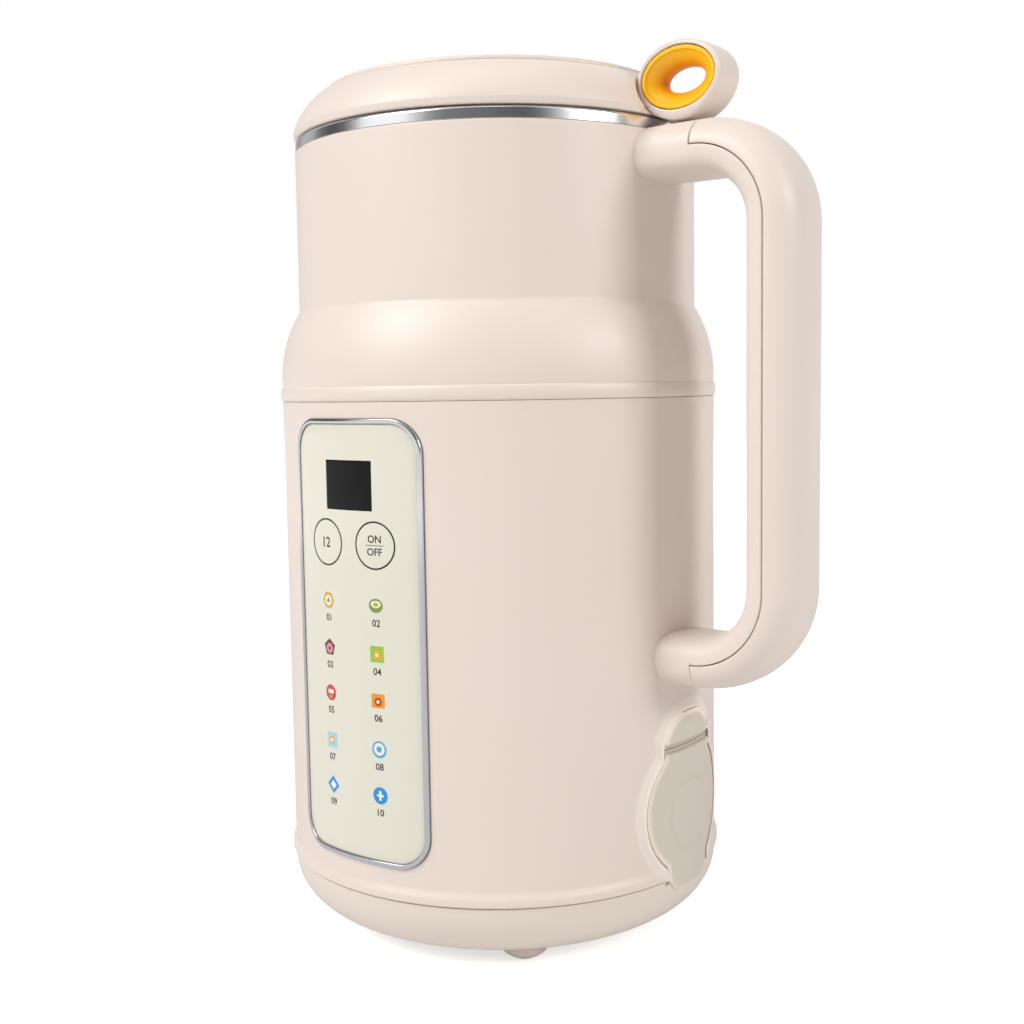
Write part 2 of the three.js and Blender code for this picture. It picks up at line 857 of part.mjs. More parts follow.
const handleScrew = join(
  rodX(screwHeadRadius, -handleScrewHead, 0, 0, 0),
  rodX(handleScrewRadius, -handleScrewHead, handleScrewLength, 0, 0),
);
piece(body, 'handle_screw_upper', handleScrew, steel).position.set(upperScrewStart, 0, upperArmHeight);
piece(body, 'handle_screw_lower', handleScrew, steel).position.set(lowerScrewStart, 0, lowerArmHeight);

// Control panel: a chrome frame round a pale curved face with a black window in it.

const panelBack = panelRadius - panelThickness;

function panelShell(outerRadius) {
  return ring(panelBack, outerRadius, panelBottom - panelCorner, panelTop + panelCorner, bodySides);
}

const trimShell = panelShell(panelRadius + trimRise);
const trimFrame = cut(frontPrism(panelOutline(0)), frontPrism(panelOutline(-trimWidth)));
const faceWindow = frontPrism(displayOutline(seatGap));
piece(body, 'panel_trim', trimShell.intersect(trimFrame), chrome);
piece(
  body,
  'panel_face',
  cut(panelShell(panelRadius).intersect(frontPrism(panelOutline(-trimWidth - seatGap))), faceWindow),
  paleFace,
);
piece(body, 'display_window', panelShell(panelRadius).intersect(frontPrism(displayOutline(0))), blackGlass);

// Display board behind the panel with its display module, and the pads of the two touch keys.

const displayBoardFace = -Math.sqrt(
  (housingInner - 2 * runningGap) ** 2 - displayBoardHalfWidth ** 2,
);
const displayBoardTop = displayMiddle + displayHeight / 2 + boardThickness;
const displayBoard = block(
  -displayBoardHalfWidth, displayBoardHalfWidth, displayBoardFace, displayBoardFace + boardThickness,
  displayBoardBottom, displayBoardTop,
);
const moduleInset = trimWidth + 2 * seatGap;
const moduleFace = runningGap - Math.sqrt(panelBack ** 2 - (displayWidth / 2) ** 2);
const displayModule = block(
  -displayWidth / 2 + moduleInset, displayWidth / 2 - moduleInset,
  moduleFace, displayBoardFace + boardThickness / 2,
  displayMiddle - displayHeight / 2 + moduleInset, displayMiddle + displayHeight / 2 - moduleInset,
);
const padRadius = keyRadius / 2;
const padReach = Math.sqrt((housingInner - seatGap) ** 2 - (keyOffset + padRadius) ** 2) - seatGap;
const padLength = padReach + displayBoardFace - seatGap;
const keyPad = solid(
  new THREE.CylinderGeometry(padRadius, padRadius, padLength, smallSides).translate(0, padLength / 2, 0),
);
piece(body, 'display_board', join(displayBoard, displayModule), circuitBoard);
piece(body, 'key_pad_left', keyPad, carbon).position.set(-keyOffset, -padReach, keyMiddle);
piece(body, 'key_pad_right', keyPad, carbon).position.set(keyOffset, -padReach, keyMiddle);

// Power inlet: a socket whose curved flange backs the silicone cover, with three blades.

const flangeRadius = coverRadius - coverThickness - seatGap;
const socketHalfWidth = socketWidth / 2;
const socketHalfHeight = socketHeight / 2;
const socketMouth = flangeRadius + overrun;
const socketFloor = flangeRadius - socketDepth;
const socketBack = socketFloor - socketWall;

function inletSocket() {
  const flangeBack = flangeRadius - flangeThickness;
  const flangeBand = ring(flangeBack, flangeRadius, housingBottom + seatGap, inletEnd, bodySides);
  const flange = flangeBand.intersect(inletPrism(inletLipWidth));
  const shellHalfWidth = socketHalfWidth + socketWall;
  const shellHalfHeight = socketHalfHeight + socketWall;
  const shell = block(
    socketBack, flangeRadius, inletOffset - shellHalfWidth, inletOffset + shellHalfWidth,
    socketMiddle - shellHalfHeight, socketMiddle + shellHalfHeight,
  ).intersect(disc(flangeRadius - flangeThickness / 2, 0, inletTop, bodySides));
  const mouth = roundedRectangle(
    inletOffset - socketHalfWidth, inletOffset + socketHalfWidth,
    socketMiddle - socketHalfHeight, socketMiddle + socketHalfHeight, socketWall, 3,
  );
  const slots = [-1, 0, 1].map((side) => {
    const [y, z] = pinPlace(side);
    const halfWidth = pinWidth / 2 + seatGap;
    const halfHeight = pinHeight / 2 + seatGap;
    return block(
      socketBack - overrun, socketFloor + overrun,
      y - halfWidth, y + halfWidth, z - halfHeight, z + halfHeight,
    );
  });
  return cut(join(flange, shell), prismX(mouth, socketFloor, socketMouth), ...slots);
}

// The middle blade stands a little higher than the outer two.
function pinPlace(side) {
  const rise = side === 0 ? pinHeight / 2 : -pinHeight / 2;
  return [inletOffset + side * pinSpacing, socketMiddle + rise];
}

piece(body, 'inlet_socket', inletSocket(), darkPlastic);

const pin = block(-pinTail, pinLength, -pinWidth / 2, pinWidth / 2, -pinHeight / 2, pinHeight / 2);
const pinNames = ['inlet_pin_line', 'inlet_pin_earth', 'inlet_pin_neutral'];
pinNames.forEach((name, index) => {
  const [y, z] = pinPlace(index - 1);
  piece(body, name, pin, brass).position.set(socketFloor, y, z);
});

// Silicone cover: a fixed head and a flap, each with a thin lip of the fold between them.

const coverBand = ring(coverRadius - coverThickness, coverRadius, 0, inletEnd, bodySides);
const coverWhole = coverBand.intersect(inletPrism(0));
const foldRadius = coverRadius - foldDepth - foldWeb / 2;
const webBand = ring(foldRadius - foldWeb / 2, foldRadius + foldWeb / 2, 0, inletEnd, bodySides);
const foldHalf = foldGroove / 2;
const foldSlit = foldWeb / 2 + seatGap / 4;
const slab = (bottom, top) => block(
  0, coverRadius + overrun, -coverRadius, coverRadius, bottom, top,
);
const coverHead = join(
  coverWhole.intersect(slab(foldHeight + foldHalf, inletEnd)),
  webBand.intersect(coverWhole).intersect(slab(foldHeight + foldSlit, foldHeight + foldHalf + seatGap)),
);
const coverFlap = join(
  coverWhole.intersect(slab(-overrun, foldHeight - foldHalf)),
  webBand.intersect(coverWhole).intersect(slab(foldHeight - foldHalf - seatGap, foldHeight - foldSlit)),
);
piece(body, 'inlet_cover_head', coverHead, siliconeCream);

const flap = new THREE.Group();
machine.add(flap);
piece(flap, 'inlet_cover_flap', coverFlap, siliconeCream);

// Lid shell: a rim, a soft belly and a dome that rolls over to a flat top, with an opening
// for the loop's stem and posts for the lid screws.

const lidBottom = lipTop + lidGap;
const bellyHeight = lidBottom + lidBellyRise;
const lidTop = bellyHeight + lidDomeHeight;
const linerTop = lidBottom + linerWall;
const linerFloor = lidBottom - plugDepth;

function loopEnvelope(grow, depth) {
  const halfHeight = insertHalfHeight + loopWall + loopSeat;
  const shape = ellipse(insertHalfWidth + loopWall + grow, halfHeight + grow);
  return prismY(shape, -depth / 2 - grow, depth / 2 + grow)
    .translate([0, 0, -loopSeat])
    .rotate([0, -loopTilt, 0])
    .translate([loopReach, 0, loopHeight]);
}

function loopStem(grow) {
  const halfWidth = stemWidth / 2 + grow;
  const middle = loopHeight - insertHalfHeight / 3;
  const start = loopReach - insertHalfWidth - loopWall;
  return block(
    start - stemDepth / 2 - grow, start + stemDepth / 2, -halfWidth, halfWidth,
    middle - stemHeight / 2 - grow, middle + stemHeight / 2 + grow,
  );
}

function lidShell() {
  const shell = turned([
    [lipRadius - lidWall, lidBottom],
    [lipRadius, lidBottom],
    ...roundOver(lidBellyRadius, bellyHeight, lidFlatRadius, lidTop, lidPower, 6),
    [0, lidTop],
    [0, lidTop - lidWall],
    ...roundOver(
      lidBellyRadius - lidWall, bellyHeight, lidFlatRadius - lidWall, lidTop - lidWall, lidPower, 3,
    ).reverse(),
    [lipRadius - lidWall, lidBottom],
  ]);
  const posts = thirdTurns.map((angle) => {
    const [x, y] = around(lidPostOffset, angle);
    return rodZ(lidPostRadius, x, y, linerFloor + linerWall + seatGap, lidTop - lidWall / 2);
  });
  const holes = thirdTurns.map((angle) => {
    const [x, y] = around(lidPostOffset, angle);
    return rodZ(postHoleRadius, x, y, linerFloor, lidScrewTip + seatGap);
  });
  return cut(join(shell, ...posts), loopEnvelope(seatGap, loopDepth), loopStem(seatGap), ...holes);
}

const lidScrewTip = linerFloor + linerWall + postRadius * 2;
piece(lid, 'lid_shell', lidShell(), creamPlastic);

// Crown: a shallow cap on the lid's flat top.

const crownBottom = lidTop + seatGap;
const crown = turned([
  [0, crownBottom],
  [crownRadius, crownBottom],
  [crownRadius, crownBottom + crownHeight / 3],
  [crownRadius - crownHeight, crownBottom + crownHeight],
  [0, crownBottom + crownHeight],
]);
piece(lid, 'lid_crown', crown, baseCream);

// Lid liner: the plug that enters the cup, with a flange under the shell.

const flangeBottom = lipTop + seatGap;
const sealTop = flangeBottom - seatGap;
const sealBottom = sealTop - sealHeight;

const linerBody = turned([
  [0, linerFloor],
  [plugRadius - linerWall, linerFloor],
  [plugRadius, linerFloor + linerWall],
  [plugRadius, flangeBottom],
  [linerFlangeRadius, flangeBottom],
  [linerFlangeRadius, linerTop],
  [plugRadius - linerWall, linerTop],
  [plugRadius - linerWall, linerFloor + linerWall],
  [0, linerFloor + linerWall],
], bodySides);
const linerHoles = thirdTurns.map((angle) => {
  const [x, y] = around(lidPostOffset, angle);
  return rodZ(postHoleRadius, x, y, linerFloor - overrun, linerTop);
});
piece(lid, 'lid_liner', cut(linerBody, ...linerHoles), creamPlastic);

// Seal: a soft ring round the plug with a lip that wipes the cup wall.

const sealInner = plugRadius + seatGap;
const sealOuter = cupRadius - cupWall - seatGap;
const lidSeal = turned([
  [sealInner, sealBottom],
  [sealInner + lipThickness, sealBottom],
  [sealOuter, sealBottom + sealHeight / 2],
  [sealOuter, sealTop - sealHeight / 4],
  [sealInner + lipThickness, sealTop],
  [sealInner, sealTop],
  [sealInner, sealBottom],
], bodySides);
piece(lid, 'lid_seal', lidSeal, whiteRubber);

const lidScrew = join(
  disc(screwHeadRadius, linerFloor - seatGap - screwHeadHeight, linerFloor - seatGap, smallSides),
  disc(screwRadius, linerFloor - screwHeadHeight, lidScrewTip, smallSides),
);
thirdTurns.forEach((angle, index) => {
  const [x, y] = around(lidPostOffset, angle);
  piece(lid, `lid_screw_${index + 1}`, lidScrew, steel).position.set(x, y, 0);
});

// Loop: an upright oval ring over the handle, thicker at its foot, with rounded edges, a stem
// into the lid and a short tongue below it that holds the magnet.

const armTop = upperArmHeight + gripOuterDepth;
const tongueBottom = armTop + runningGap;
const tongueStart = lipRadius + 2 * overrun;

function lidLoop() {
  const shape = ellipse(insertHalfWidth + loopWall, insertHalfHeight + loopWall + loopSeat);
  const barrel = new THREE.ExtrudeGeometry(shape, {
    depth: loopDepth - 2 * loopEdge,
    bevelEnabled: true,
    bevelSize: loopEdge,
    bevelThickness: loopEdge,
    bevelOffset: -loopEdge,
    bevelSegments: 3,
  });
  const upright = solid(barrel.rotateX(quarter).translate(0, loopDepth / 2 - loopEdge, -loopSeat))
    .rotate([0, -loopTilt, 0])
    .translate([loopReach, 0, loopHeight]);
  const tongue = block(
    tongueStart, tongueStart + tongueLength, -stemWidth / 2, stemWidth / 2,
    tongueBottom, loopHeight - insertHalfHeight,
  );
  const pocket = rodZ(
    magnetRadius + seatGap, tongueStart + tongueLength / 2, 0,
    tongueBottom - overrun, tongueBottom + magnetHeight + 2 * seatGap,
  );
  return cut(join(upright, loopStem(0), tongue), insertEnvelope(seatGap), pocket);
}

function insertEnvelope(grow) {
  return prismY(ellipse(insertHalfWidth + grow, insertHalfHeight + grow), -loopDepth, loopDepth)
    .rotate([0, -loopTilt, 0])
    .translate([loopReach, 0, loopHeight]);
}

// Insert: straight outside, and inside a mouth that narrows to a waist and opens again.
function loopInsert() {
  const waistPower = 2.5;
  const layers = 8;
  const sides = innerSides;
  const points = [];
  const rim = (halfWidth, halfHeight, y) => {
    for (let i = 0; i < sides; i += 1) {
      const angle = (4 * quarter * i) / sides;
      points.push(halfWidth * Math.cos(angle), y, halfHeight * Math.sin(angle));
    }
  };
  const half = loopDepth / 2 - seatGap;
  rim(insertHalfWidth, insertHalfHeight, -half);
  rim(insertHalfWidth, insertHalfHeight, half);
  const lipShare = 0.95;
  for (let k = 0; k <= layers; k += 1) {
    const y = half - (2 * half * k) / layers;
    const open = Math.abs(y / half) ** waistPower;
    rim(
      waistHalfWidth + (insertHalfWidth * lipShare - waistHalfWidth) * open,
      waistHalfHeight + (insertHalfHeight * lipShare - waistHalfHeight) * open,
      y,
    );
  }
  const rings = layers + 3;
  const faces = [];
  for (let k = 0; k < rings; k += 1) {
    for (let i = 0; i < sides; i += 1) {
      const next = (i + 1) % sides;
      const [here, there] = [k * sides, ((k + 1) % rings) * sides];
      faces.push(here + i, here + next, there + next, here + i, there + next, there + i);
    }
  }
  const geometry = new THREE.BufferGeometry();
  geometry.setAttribute('position', new THREE.Float32BufferAttribute(points, 3));
  geometry.setIndex(faces);
  return solid(geometry).rotate([0, -loopTilt, 0]).translate([loopReach, 0, loopHeight]);
}

piece(lid, 'lid_loop', lidLoop(), creamPlastic);
piece(lid, 'loop_insert', loopInsert(), goldenInsert);
piece(lid, 'lid_magnet', disc(magnetRadius, 0, magnetHeight, smallSides), magnetSteel)
  .position.set(tongueStart + tongueLength / 2, 0, tongueBottom + seatGap);

// Lid switch: a reed capsule under the handle's roof, below the magnet.

const reed = rodX(reedRadius, 0, reedLength, 0, 0, smallSides);
piece(body, 'lid_switch', reed, blackGlass)
  .position.set(cavityStart + seatGap, 0, armTop - gripWall - seatGap - runningGap - reedRadius);

// Blade group: shaft, spacer, four-winged blade and cap nut, turning together.

const shaftHole = shaftRadius + seatGap;
const sealTopHeight = cupFloor + cupWall + 2 * seatGap + sealFlange;
const nutBottom = bladeHeight + bladeThickness + seatGap;
const shaftTop = nutBottom + nutHeight - seatGap - nutCap;
piece(drive, 'blade_shaft', disc(shaftRadius, shaftBottom, shaftTop, smallSides), steel);
piece(
  drive,
  'blade_spacer',
  ring(shaftHole, spacerRadius, sealTopHeight + runningGap, bladeHeight - seatGap, smallSides),
  steel,
);

function blade() {
  const hubRadius = spacerRadius;
  const halfWidth = bladeWingWidth / 2;
  const wingTilts = [-16, 10, -16, 10];
  const frontCornerShare = 0.8;
  const rearCornerShare = 0.94;
  const root = hubRadius - bladeThickness / 2;
  const wing = prismZ(outline([
    [root, -halfWidth],
    [bladeSpan * frontCornerShare, -halfWidth],
    [bladeSpan, 0],
    [bladeSpan * rearCornerShare, halfWidth],
    [root, halfWidth],
  ]), 0, bladeThickness).translate([-hubRadius, 0, 0]);
  const wings = wingTilts.map((tilt, index) => wing
    .rotate([0, tilt, 0])
    .translate([hubRadius, 0, 0])
    .rotate([0, 0, index * 90]));
  const hub = disc(hubRadius, 0, bladeThickness, smallSides);
  return cut(join(hub, ...wings), disc(shaftHole, -bladeSpan, bladeSpan, smallSides));
}

piece(drive, 'blade', blade(), steel).position.z = bladeHeight;

const nutBody = cut(
  disc(nutRadius, nutBottom, nutBottom + nutHeight, 6),
  disc(shaftHole, nutBottom - overrun, shaftTop + seatGap, smallSides),
);
piece(drive, 'blade_nut', nutBody, steel);

// Shaft seal in the cup floor: a flange above the floor and a sleeve through it.

const shaftSeal = turned([
  [sealInnerRadius, cupFloor - heaterPlateThickness],
  [sealRadius, cupFloor - heaterPlateThickness],
  [sealRadius, cupFloor + cupWall + seatGap],
  [sealRadius + overrun, cupFloor + cupWall + seatGap],
  [sealRadius + overrun, sealTopHeight - seatGap],
  [sealInnerRadius + lipThickness, sealTopHeight],
  [sealInnerRadius, sealTopHeight],
  [sealInnerRadius, cupFloor - heaterPlateThickness],
], innerSides);
piece(body, 'shaft_seal', shaftSeal, whiteRubber);

// Heating plate under the cup, with the heating tube, thermostat, fuse and probe below it.

const heaterTop = cupFloor - seatGap;
const heaterBottom = heaterTop - heaterPlateThickness;
const heaterPlate = ring(sealHoleRadius, heaterPlateRadius - cupWall, heaterBottom, heaterTop);
piece(body, 'heating_plate', heaterPlate, castAluminium);

const heaterTube = new THREE.TorusGeometry(heaterRingRadius, heaterTubeRadius, 10, innerSides);
piece(body, 'heating_tube', solid(heaterTube), steel)
  .position.set(0, 0, heaterBottom - seatGap - heaterTubeRadius);

const sensorOffset = heaterRingRadius - heaterTubeRadius * 4;
const sensorTop = heaterBottom - seatGap;
const thermostat = disc(thermostatRadius, sensorTop - thermostatHeight, sensorTop, smallSides);
const fuse = rodX(fuseRadius, -fuseLength / 2, fuseLength / 2, 0, 0);
const probe = disc(probeRadius, sensorTop - probeHeight, sensorTop, smallSides);
piece(body, 'thermostat', thermostat, darkPlastic).position.set(-sensorOffset, 0, 0);
piece(body, 'thermal_fuse', fuse, whiteRubber).position.set(0, sensorOffset, sensorTop - fuseRadius);
piece(body, 'temperature_probe', probe, brass).position.set(0, -sensorOffset, 0);

// Motor plate on the housing's ledge, and below it the motor between its two brackets.

const motorPlateRadius = housingInner - seatGap;
const plateHoleRadius = bearingRadius + seatGap;
const coolingHoles = [0, 1, 2, 3, 4, 5].map((step) => {
  const [x, y] = around(heaterPlateRadius, (step * 4 * quarter) / 6);
  return rodZ(coolingHoleRadius, x, y, 0, cupFloor);
});
const motorPlate = ring(
  plateHoleRadius, motorPlateRadius, motorPlateHeight, motorPlateTop, bodySides,
);
piece(body, 'motor_plate', cut(motorPlate, ...coolingHoles), darkPlastic);

const upperBracketTop = motorPlateHeight - seatGap;
const upperBracketBottom = upperBracketTop - bracketThickness;
const lowerBracketTop = lowerBracketHeight + bracketThickness;
const bracketRadius = statorRadius + bracketThickness;
const bracketBore = bearingRadius + seatGap;
const upperBracket = ring(bracketBore, bracketRadius, upperBracketBottom, upperBracketTop);
piece(body, 'upper_bracket', upperBracket, castAluminium);

function lowerBracket() {
  const plate = ring(bracketBore, bracketRadius, lowerBracketHeight, lowerBracketTop);
  const armWidth = statorRadius / 3;
  const strutTop = upperBracketBottom - seatGap;
  const struts = ring(statorRadius + seatGap, bracketRadius, lowerBracketHeight, strutTop)
    .intersect(block(-bracketRadius, bracketRadius, -armWidth, armWidth, 0, cupFloor));
  const holder = block(
    -armWidth / 2, armWidth / 2, commutatorRadius + holderClearance, statorRadius - holderClearance,
    lowerBracketHeight, commutatorBottom + seatGap,
  );
  return join(plate, struts, holder, holder.rotate([0, 0, 180]));
}

piece(body, 'lower_bracket', lowerBracket(), castAluminium);

const bearing = ring(shaftHole, bearingRadius, 0, bearingHeight, smallSides);
piece(body, 'lower_bearing', bearing, steel).position.z = lowerBracketHeight;
piece(body, 'upper_bearing', bearing, steel).position.z = upperBracketTop - bearingHeight;

const stator = ring(
  rotorRadius + runningGap, statorRadius, rotorBottom - statorOverlap, rotorTop + statorOverlap,
);
const commutator = ring(shaftHole, commutatorRadius, commutatorBottom, commutatorTop);
piece(body, 'motor_stator', stator, copper);
piece(drive, 'motor_rotor', ring(shaftHole, rotorRadius, rotorBottom, rotorTop), copper);
piece(drive, 'commutator', commutator, copper);

function motorFan() {
  const vaneCount = 8;
  const halfThickness = bladeThickness / 2;
  const vane = block(
    spacerRadius, fanRadius - seatGap, -halfThickness, halfThickness, halfThickness, fanHeight,
  );
  let wheel = ring(shaftHole, fanRadius, 0, bladeThickness);
  for (let i = 0; i < vaneCount; i += 1) {
    wheel = wheel.add(vane.rotate([0, 0, (360 * i) / vaneCount]));
  }
  return wheel;
}

const fanBottom = upperBracketBottom - 2 * runningGap - fanHeight;
piece(drive, 'motor_fan', motorFan(), bluePlastic).position.z = fanBottom;

const brushBottom = commutatorBottom + 2 * seatGap;
const brushInner = commutatorRadius + runningGap / 2;
const brush = block(
  -brushHalfWidth, brushHalfWidth, brushInner, statorRadius - bracketThickness,
  brushBottom, brushBottom + brushHeight,
);
piece(body, 'brush_rear', brush, carbon);
piece(body, 'brush_front', brush.rotate([0, 0, 180]), carbon);

// Power board on its posts, with the relay, capacitor and transformer soldered to it.

const boardTop = boardHeight + boardThickness;
const boardMiddle = boardHeight + boardThickness / 2;
const relayStart = relayOffset - relayWidth / 2;
const relayEnd = relayOffset + relayWidth / 2;
const board = block(
  -boardWidth / 2, boardWidth / 2, -boardDepth / 2, boardDepth / 2, boardHeight, boardTop,
);
const relay = block(-relayEnd, -relayStart, 0, relayWidth, boardMiddle, boardTop + relayHeight);
const transformer = block(relayStart, relayEnd, 0, relayWidth, boardMiddle, boardTop + relayHeight);
const capacitor = rodZ(
  capacitorRadius, relayOffset, -relayOffset, boardMiddle, boardTop + capacitorHeight,
);
piece(body, 'power_board', join(board, relay, transformer, capacitor), circuitBoard);

export default machine;
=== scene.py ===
# %% [markdown]
# # A countertop soy milk maker
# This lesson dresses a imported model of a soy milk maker: a tall drum with a narrower neck, a domed
# lid with an oval finger loop, a handle, a key panel and a silicone cover over the power inlet.
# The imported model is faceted, so every part that shows gets a smooth surface worked out with numpy
# in the same place, and every part that stays gets a finish.

# %% Load the frame
import math

import bmesh
import bpy
import numpy as np
from mathutils import Matrix, Vector


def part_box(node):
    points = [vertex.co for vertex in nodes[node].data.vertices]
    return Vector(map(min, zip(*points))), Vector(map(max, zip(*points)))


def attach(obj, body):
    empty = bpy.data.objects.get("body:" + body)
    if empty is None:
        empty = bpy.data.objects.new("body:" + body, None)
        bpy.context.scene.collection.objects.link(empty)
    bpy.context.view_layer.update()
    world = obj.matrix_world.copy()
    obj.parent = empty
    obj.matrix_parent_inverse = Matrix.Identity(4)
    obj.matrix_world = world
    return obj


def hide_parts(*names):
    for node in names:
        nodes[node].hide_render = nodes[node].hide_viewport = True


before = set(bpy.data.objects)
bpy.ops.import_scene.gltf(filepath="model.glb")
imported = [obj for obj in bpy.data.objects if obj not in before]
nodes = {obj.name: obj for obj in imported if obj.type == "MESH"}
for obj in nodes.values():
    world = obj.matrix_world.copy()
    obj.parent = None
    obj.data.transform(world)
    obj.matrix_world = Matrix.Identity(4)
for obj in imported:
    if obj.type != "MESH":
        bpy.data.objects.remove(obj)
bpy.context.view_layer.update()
MM = 0.001

# %% [markdown]
# Most parts are round about one upright axis. It lies off the middle of the whole width because
# the handle sticks out on one side, so it is read from the steel cup, which is round by itself.

# %% The machine's axis and the heights of its parts
def span(node, axis):
    """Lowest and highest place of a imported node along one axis, in millimetres."""
    low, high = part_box(node)
    return low[axis] / MM, high[axis] / MM


AXIS_X = sum(span("steel_cup", 0)) / 2
BASE_TOP = 18.85
HOUSING_BOTTOM, HOUSING_TOP = 19.15, 144.1
LIP_TOP = span("steel_cup", 2)[1]
NECK_TOP = LIP_TOP - 3.0
LID_BOTTOM = LIP_TOP + 0.5
SIDES = 240
TURN = 2 * math.pi
print("axis at x =", round(AXIS_X, 2), "mm, lid starts at z =", round(LID_BOTTOM, 2), "mm")

# %% [markdown]
# The photograph was taken with a 47 mm lens, looking a little down at the machine from its front
# right. The camera's place was worked out from the round edges of the body, about the body's axis.

# %% Camera
VIEW_TURN = math.radians(39.2)
CAMERA_DISTANCE, CAMERA_HEIGHT = 379.76, 147.17
PITCH, YAW, ROLL = math.radians(5.32), math.radians(0.494), math.radians(-0.868)
LENS = 47.04


def turn_about_z(vector, angle):
    """x * cos - y * sin and x * sin + y * cos, with z as it is."""
    c, s = math.cos(angle), math.sin(angle)
    return Vector((vector[0] * c - vector[1] * s, vector[0] * s + vector[1] * c, vector[2]))


def placed(name, data):
    """Makes an object of its data and puts it into the scene."""
    thing = bpy.data.objects.new(name, data)
    bpy.context.scene.collection.objects.link(thing)
    return thing


ahead = Vector((math.sin(YAW) * math.cos(PITCH), math.cos(YAW) * math.cos(PITCH), -math.sin(PITCH)))
level = Vector((math.cos(YAW), -math.sin(YAW), 0))
above = level.cross(ahead)
right = math.cos(ROLL) * level + math.sin(ROLL) * above
upward = -math.sin(ROLL) * level + math.cos(ROLL) * above
right, upward, ahead = (turn_about_z(v, VIEW_TURN) for v in (right, upward, ahead))
place = turn_about_z((0, -CAMERA_DISTANCE, CAMERA_HEIGHT), VIEW_TURN) + Vector((AXIS_X, 0, 0))

camera = placed("camera", bpy.data.cameras.new("camera"))
camera.data.lens = LENS
camera.data.clip_start, camera.data.clip_end = 0.01, 20
facing = Matrix((right, upward, -ahead)).transposed().to_4x4()
camera.matrix_world = Matrix.Translation(place * MM) @ facing
bpy.context.scene.camera = camera
print("camera at", [round(v, 1) for v in place], "mm")

# %% [markdown]
# A surface here is a grid of points: one direction runs along a profile, the other round the part.
# One function turns such a grid into a mesh, closes its seams and poles, and makes its faces point
# outwards.

# %% Grids into meshes
SMOOTH_UNDER = 50


def surface(points, wrap_rows=False, wrap_columns=True, outward=True):
    """points[row, column] holds places in millimetres, and neighbours are joined by four-sided
    faces. A wrapped direction joins its last line to its first."""
    rows, columns = points.shape[:2]
    index = np.arange(rows * columns).reshape(rows, columns)
    if wrap_rows:
        index = np.vstack([index, index[:1]])
    if wrap_columns:
        index = np.hstack([index, index[:, :1]])
    corners = [index[:-1, :-1], index[:-1, 1:], index[1:, 1:], index[1:, :-1]]
    quads = np.stack(corners, -1).reshape(-1, 4)
    mesh = bpy.data.meshes.new("surface")
    mesh.vertices.add(rows * columns)
    mesh.vertices.foreach_set("co", (points.reshape(-1, 3) * MM).astype(np.float32).ravel())
    mesh.loops.add(quads.size)
    mesh.loops.foreach_set("vertex_index", quads.ravel())
    mesh.polygons.add(len(quads))
    mesh.polygons.foreach_set("loop_start", np.arange(len(quads)) * 4)
    mesh.update(calc_edges=True)
    return clean(mesh, outward)


def clean(mesh, outward=True):
    """Merges points that lie on each other and points the faces outwards."""
    work = bmesh.new()
    work.from_mesh(mesh)
    bmesh.ops.remove_doubles(work, verts=work.verts, dist=1e-6)
    bmesh.ops.dissolve_degenerate(work, edges=work.edges, dist=1e-7)
    if outward:
        bmesh.ops.recalc_face_normals(work, faces=work.faces)
    work.to_mesh(mesh)
    work.free()
    mesh.shade_smooth()
    mesh.set_sharp_from_angle(angle=math.radians(SMOOTH_UNDER))
    return mesh


def joined(*meshes):
    """Several meshes as one."""
    work = bmesh.new()
    for mesh in meshes:
        work.from_mesh(mesh)
    whole = bpy.data.meshes.new("joined")
    work.to_mesh(whole)
    work.free()
    return whole


def piece(name, mesh, body, slot, material, *stands_for):
    """Makes an object of a mesh, dresses it and lets it ride on a body of the frame."""
    mesh.name = name
    mesh.materials.append(material)
    thing = placed(name, mesh)
    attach(thing, body)
    if stands_for:
        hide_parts(*stands_for)
    print(f"{name}: {len(mesh.polygons)} faces")
    return thing


def walled(thing, wall):
    """Gives an open sheet a wall of that thickness on its inner side."""
    thick = thing.modifiers.new("wall", "SOLIDIFY")
    thick.thickness, thick.offset = wall * MM, -1


def places_of(mesh):
    """The places of a mesh's points, in millimetres, one row each."""
    places = np.empty(len(mesh.vertices) * 3, np.float32)
    mesh.vertices.foreach_get("co", places)
    return places.reshape(-1, 3) / MM


def evaluated(thing):
    """The mesh that an object's modifiers or its text make of it."""
    graph = bpy.context.evaluated_depsgraph_get()
    return bpy.data.meshes.new_from_object(thing.evaluated_get(graph))


print("faces are shaded smooth across edges under", SMOOTH_UNDER, "degrees")

# %% [markdown]
# Real edges are never quite sharp. A profile is written as corners, each with the radius of its
# rounding, and extra points beside each rounding keep the flat stretches flat when they are shaded.

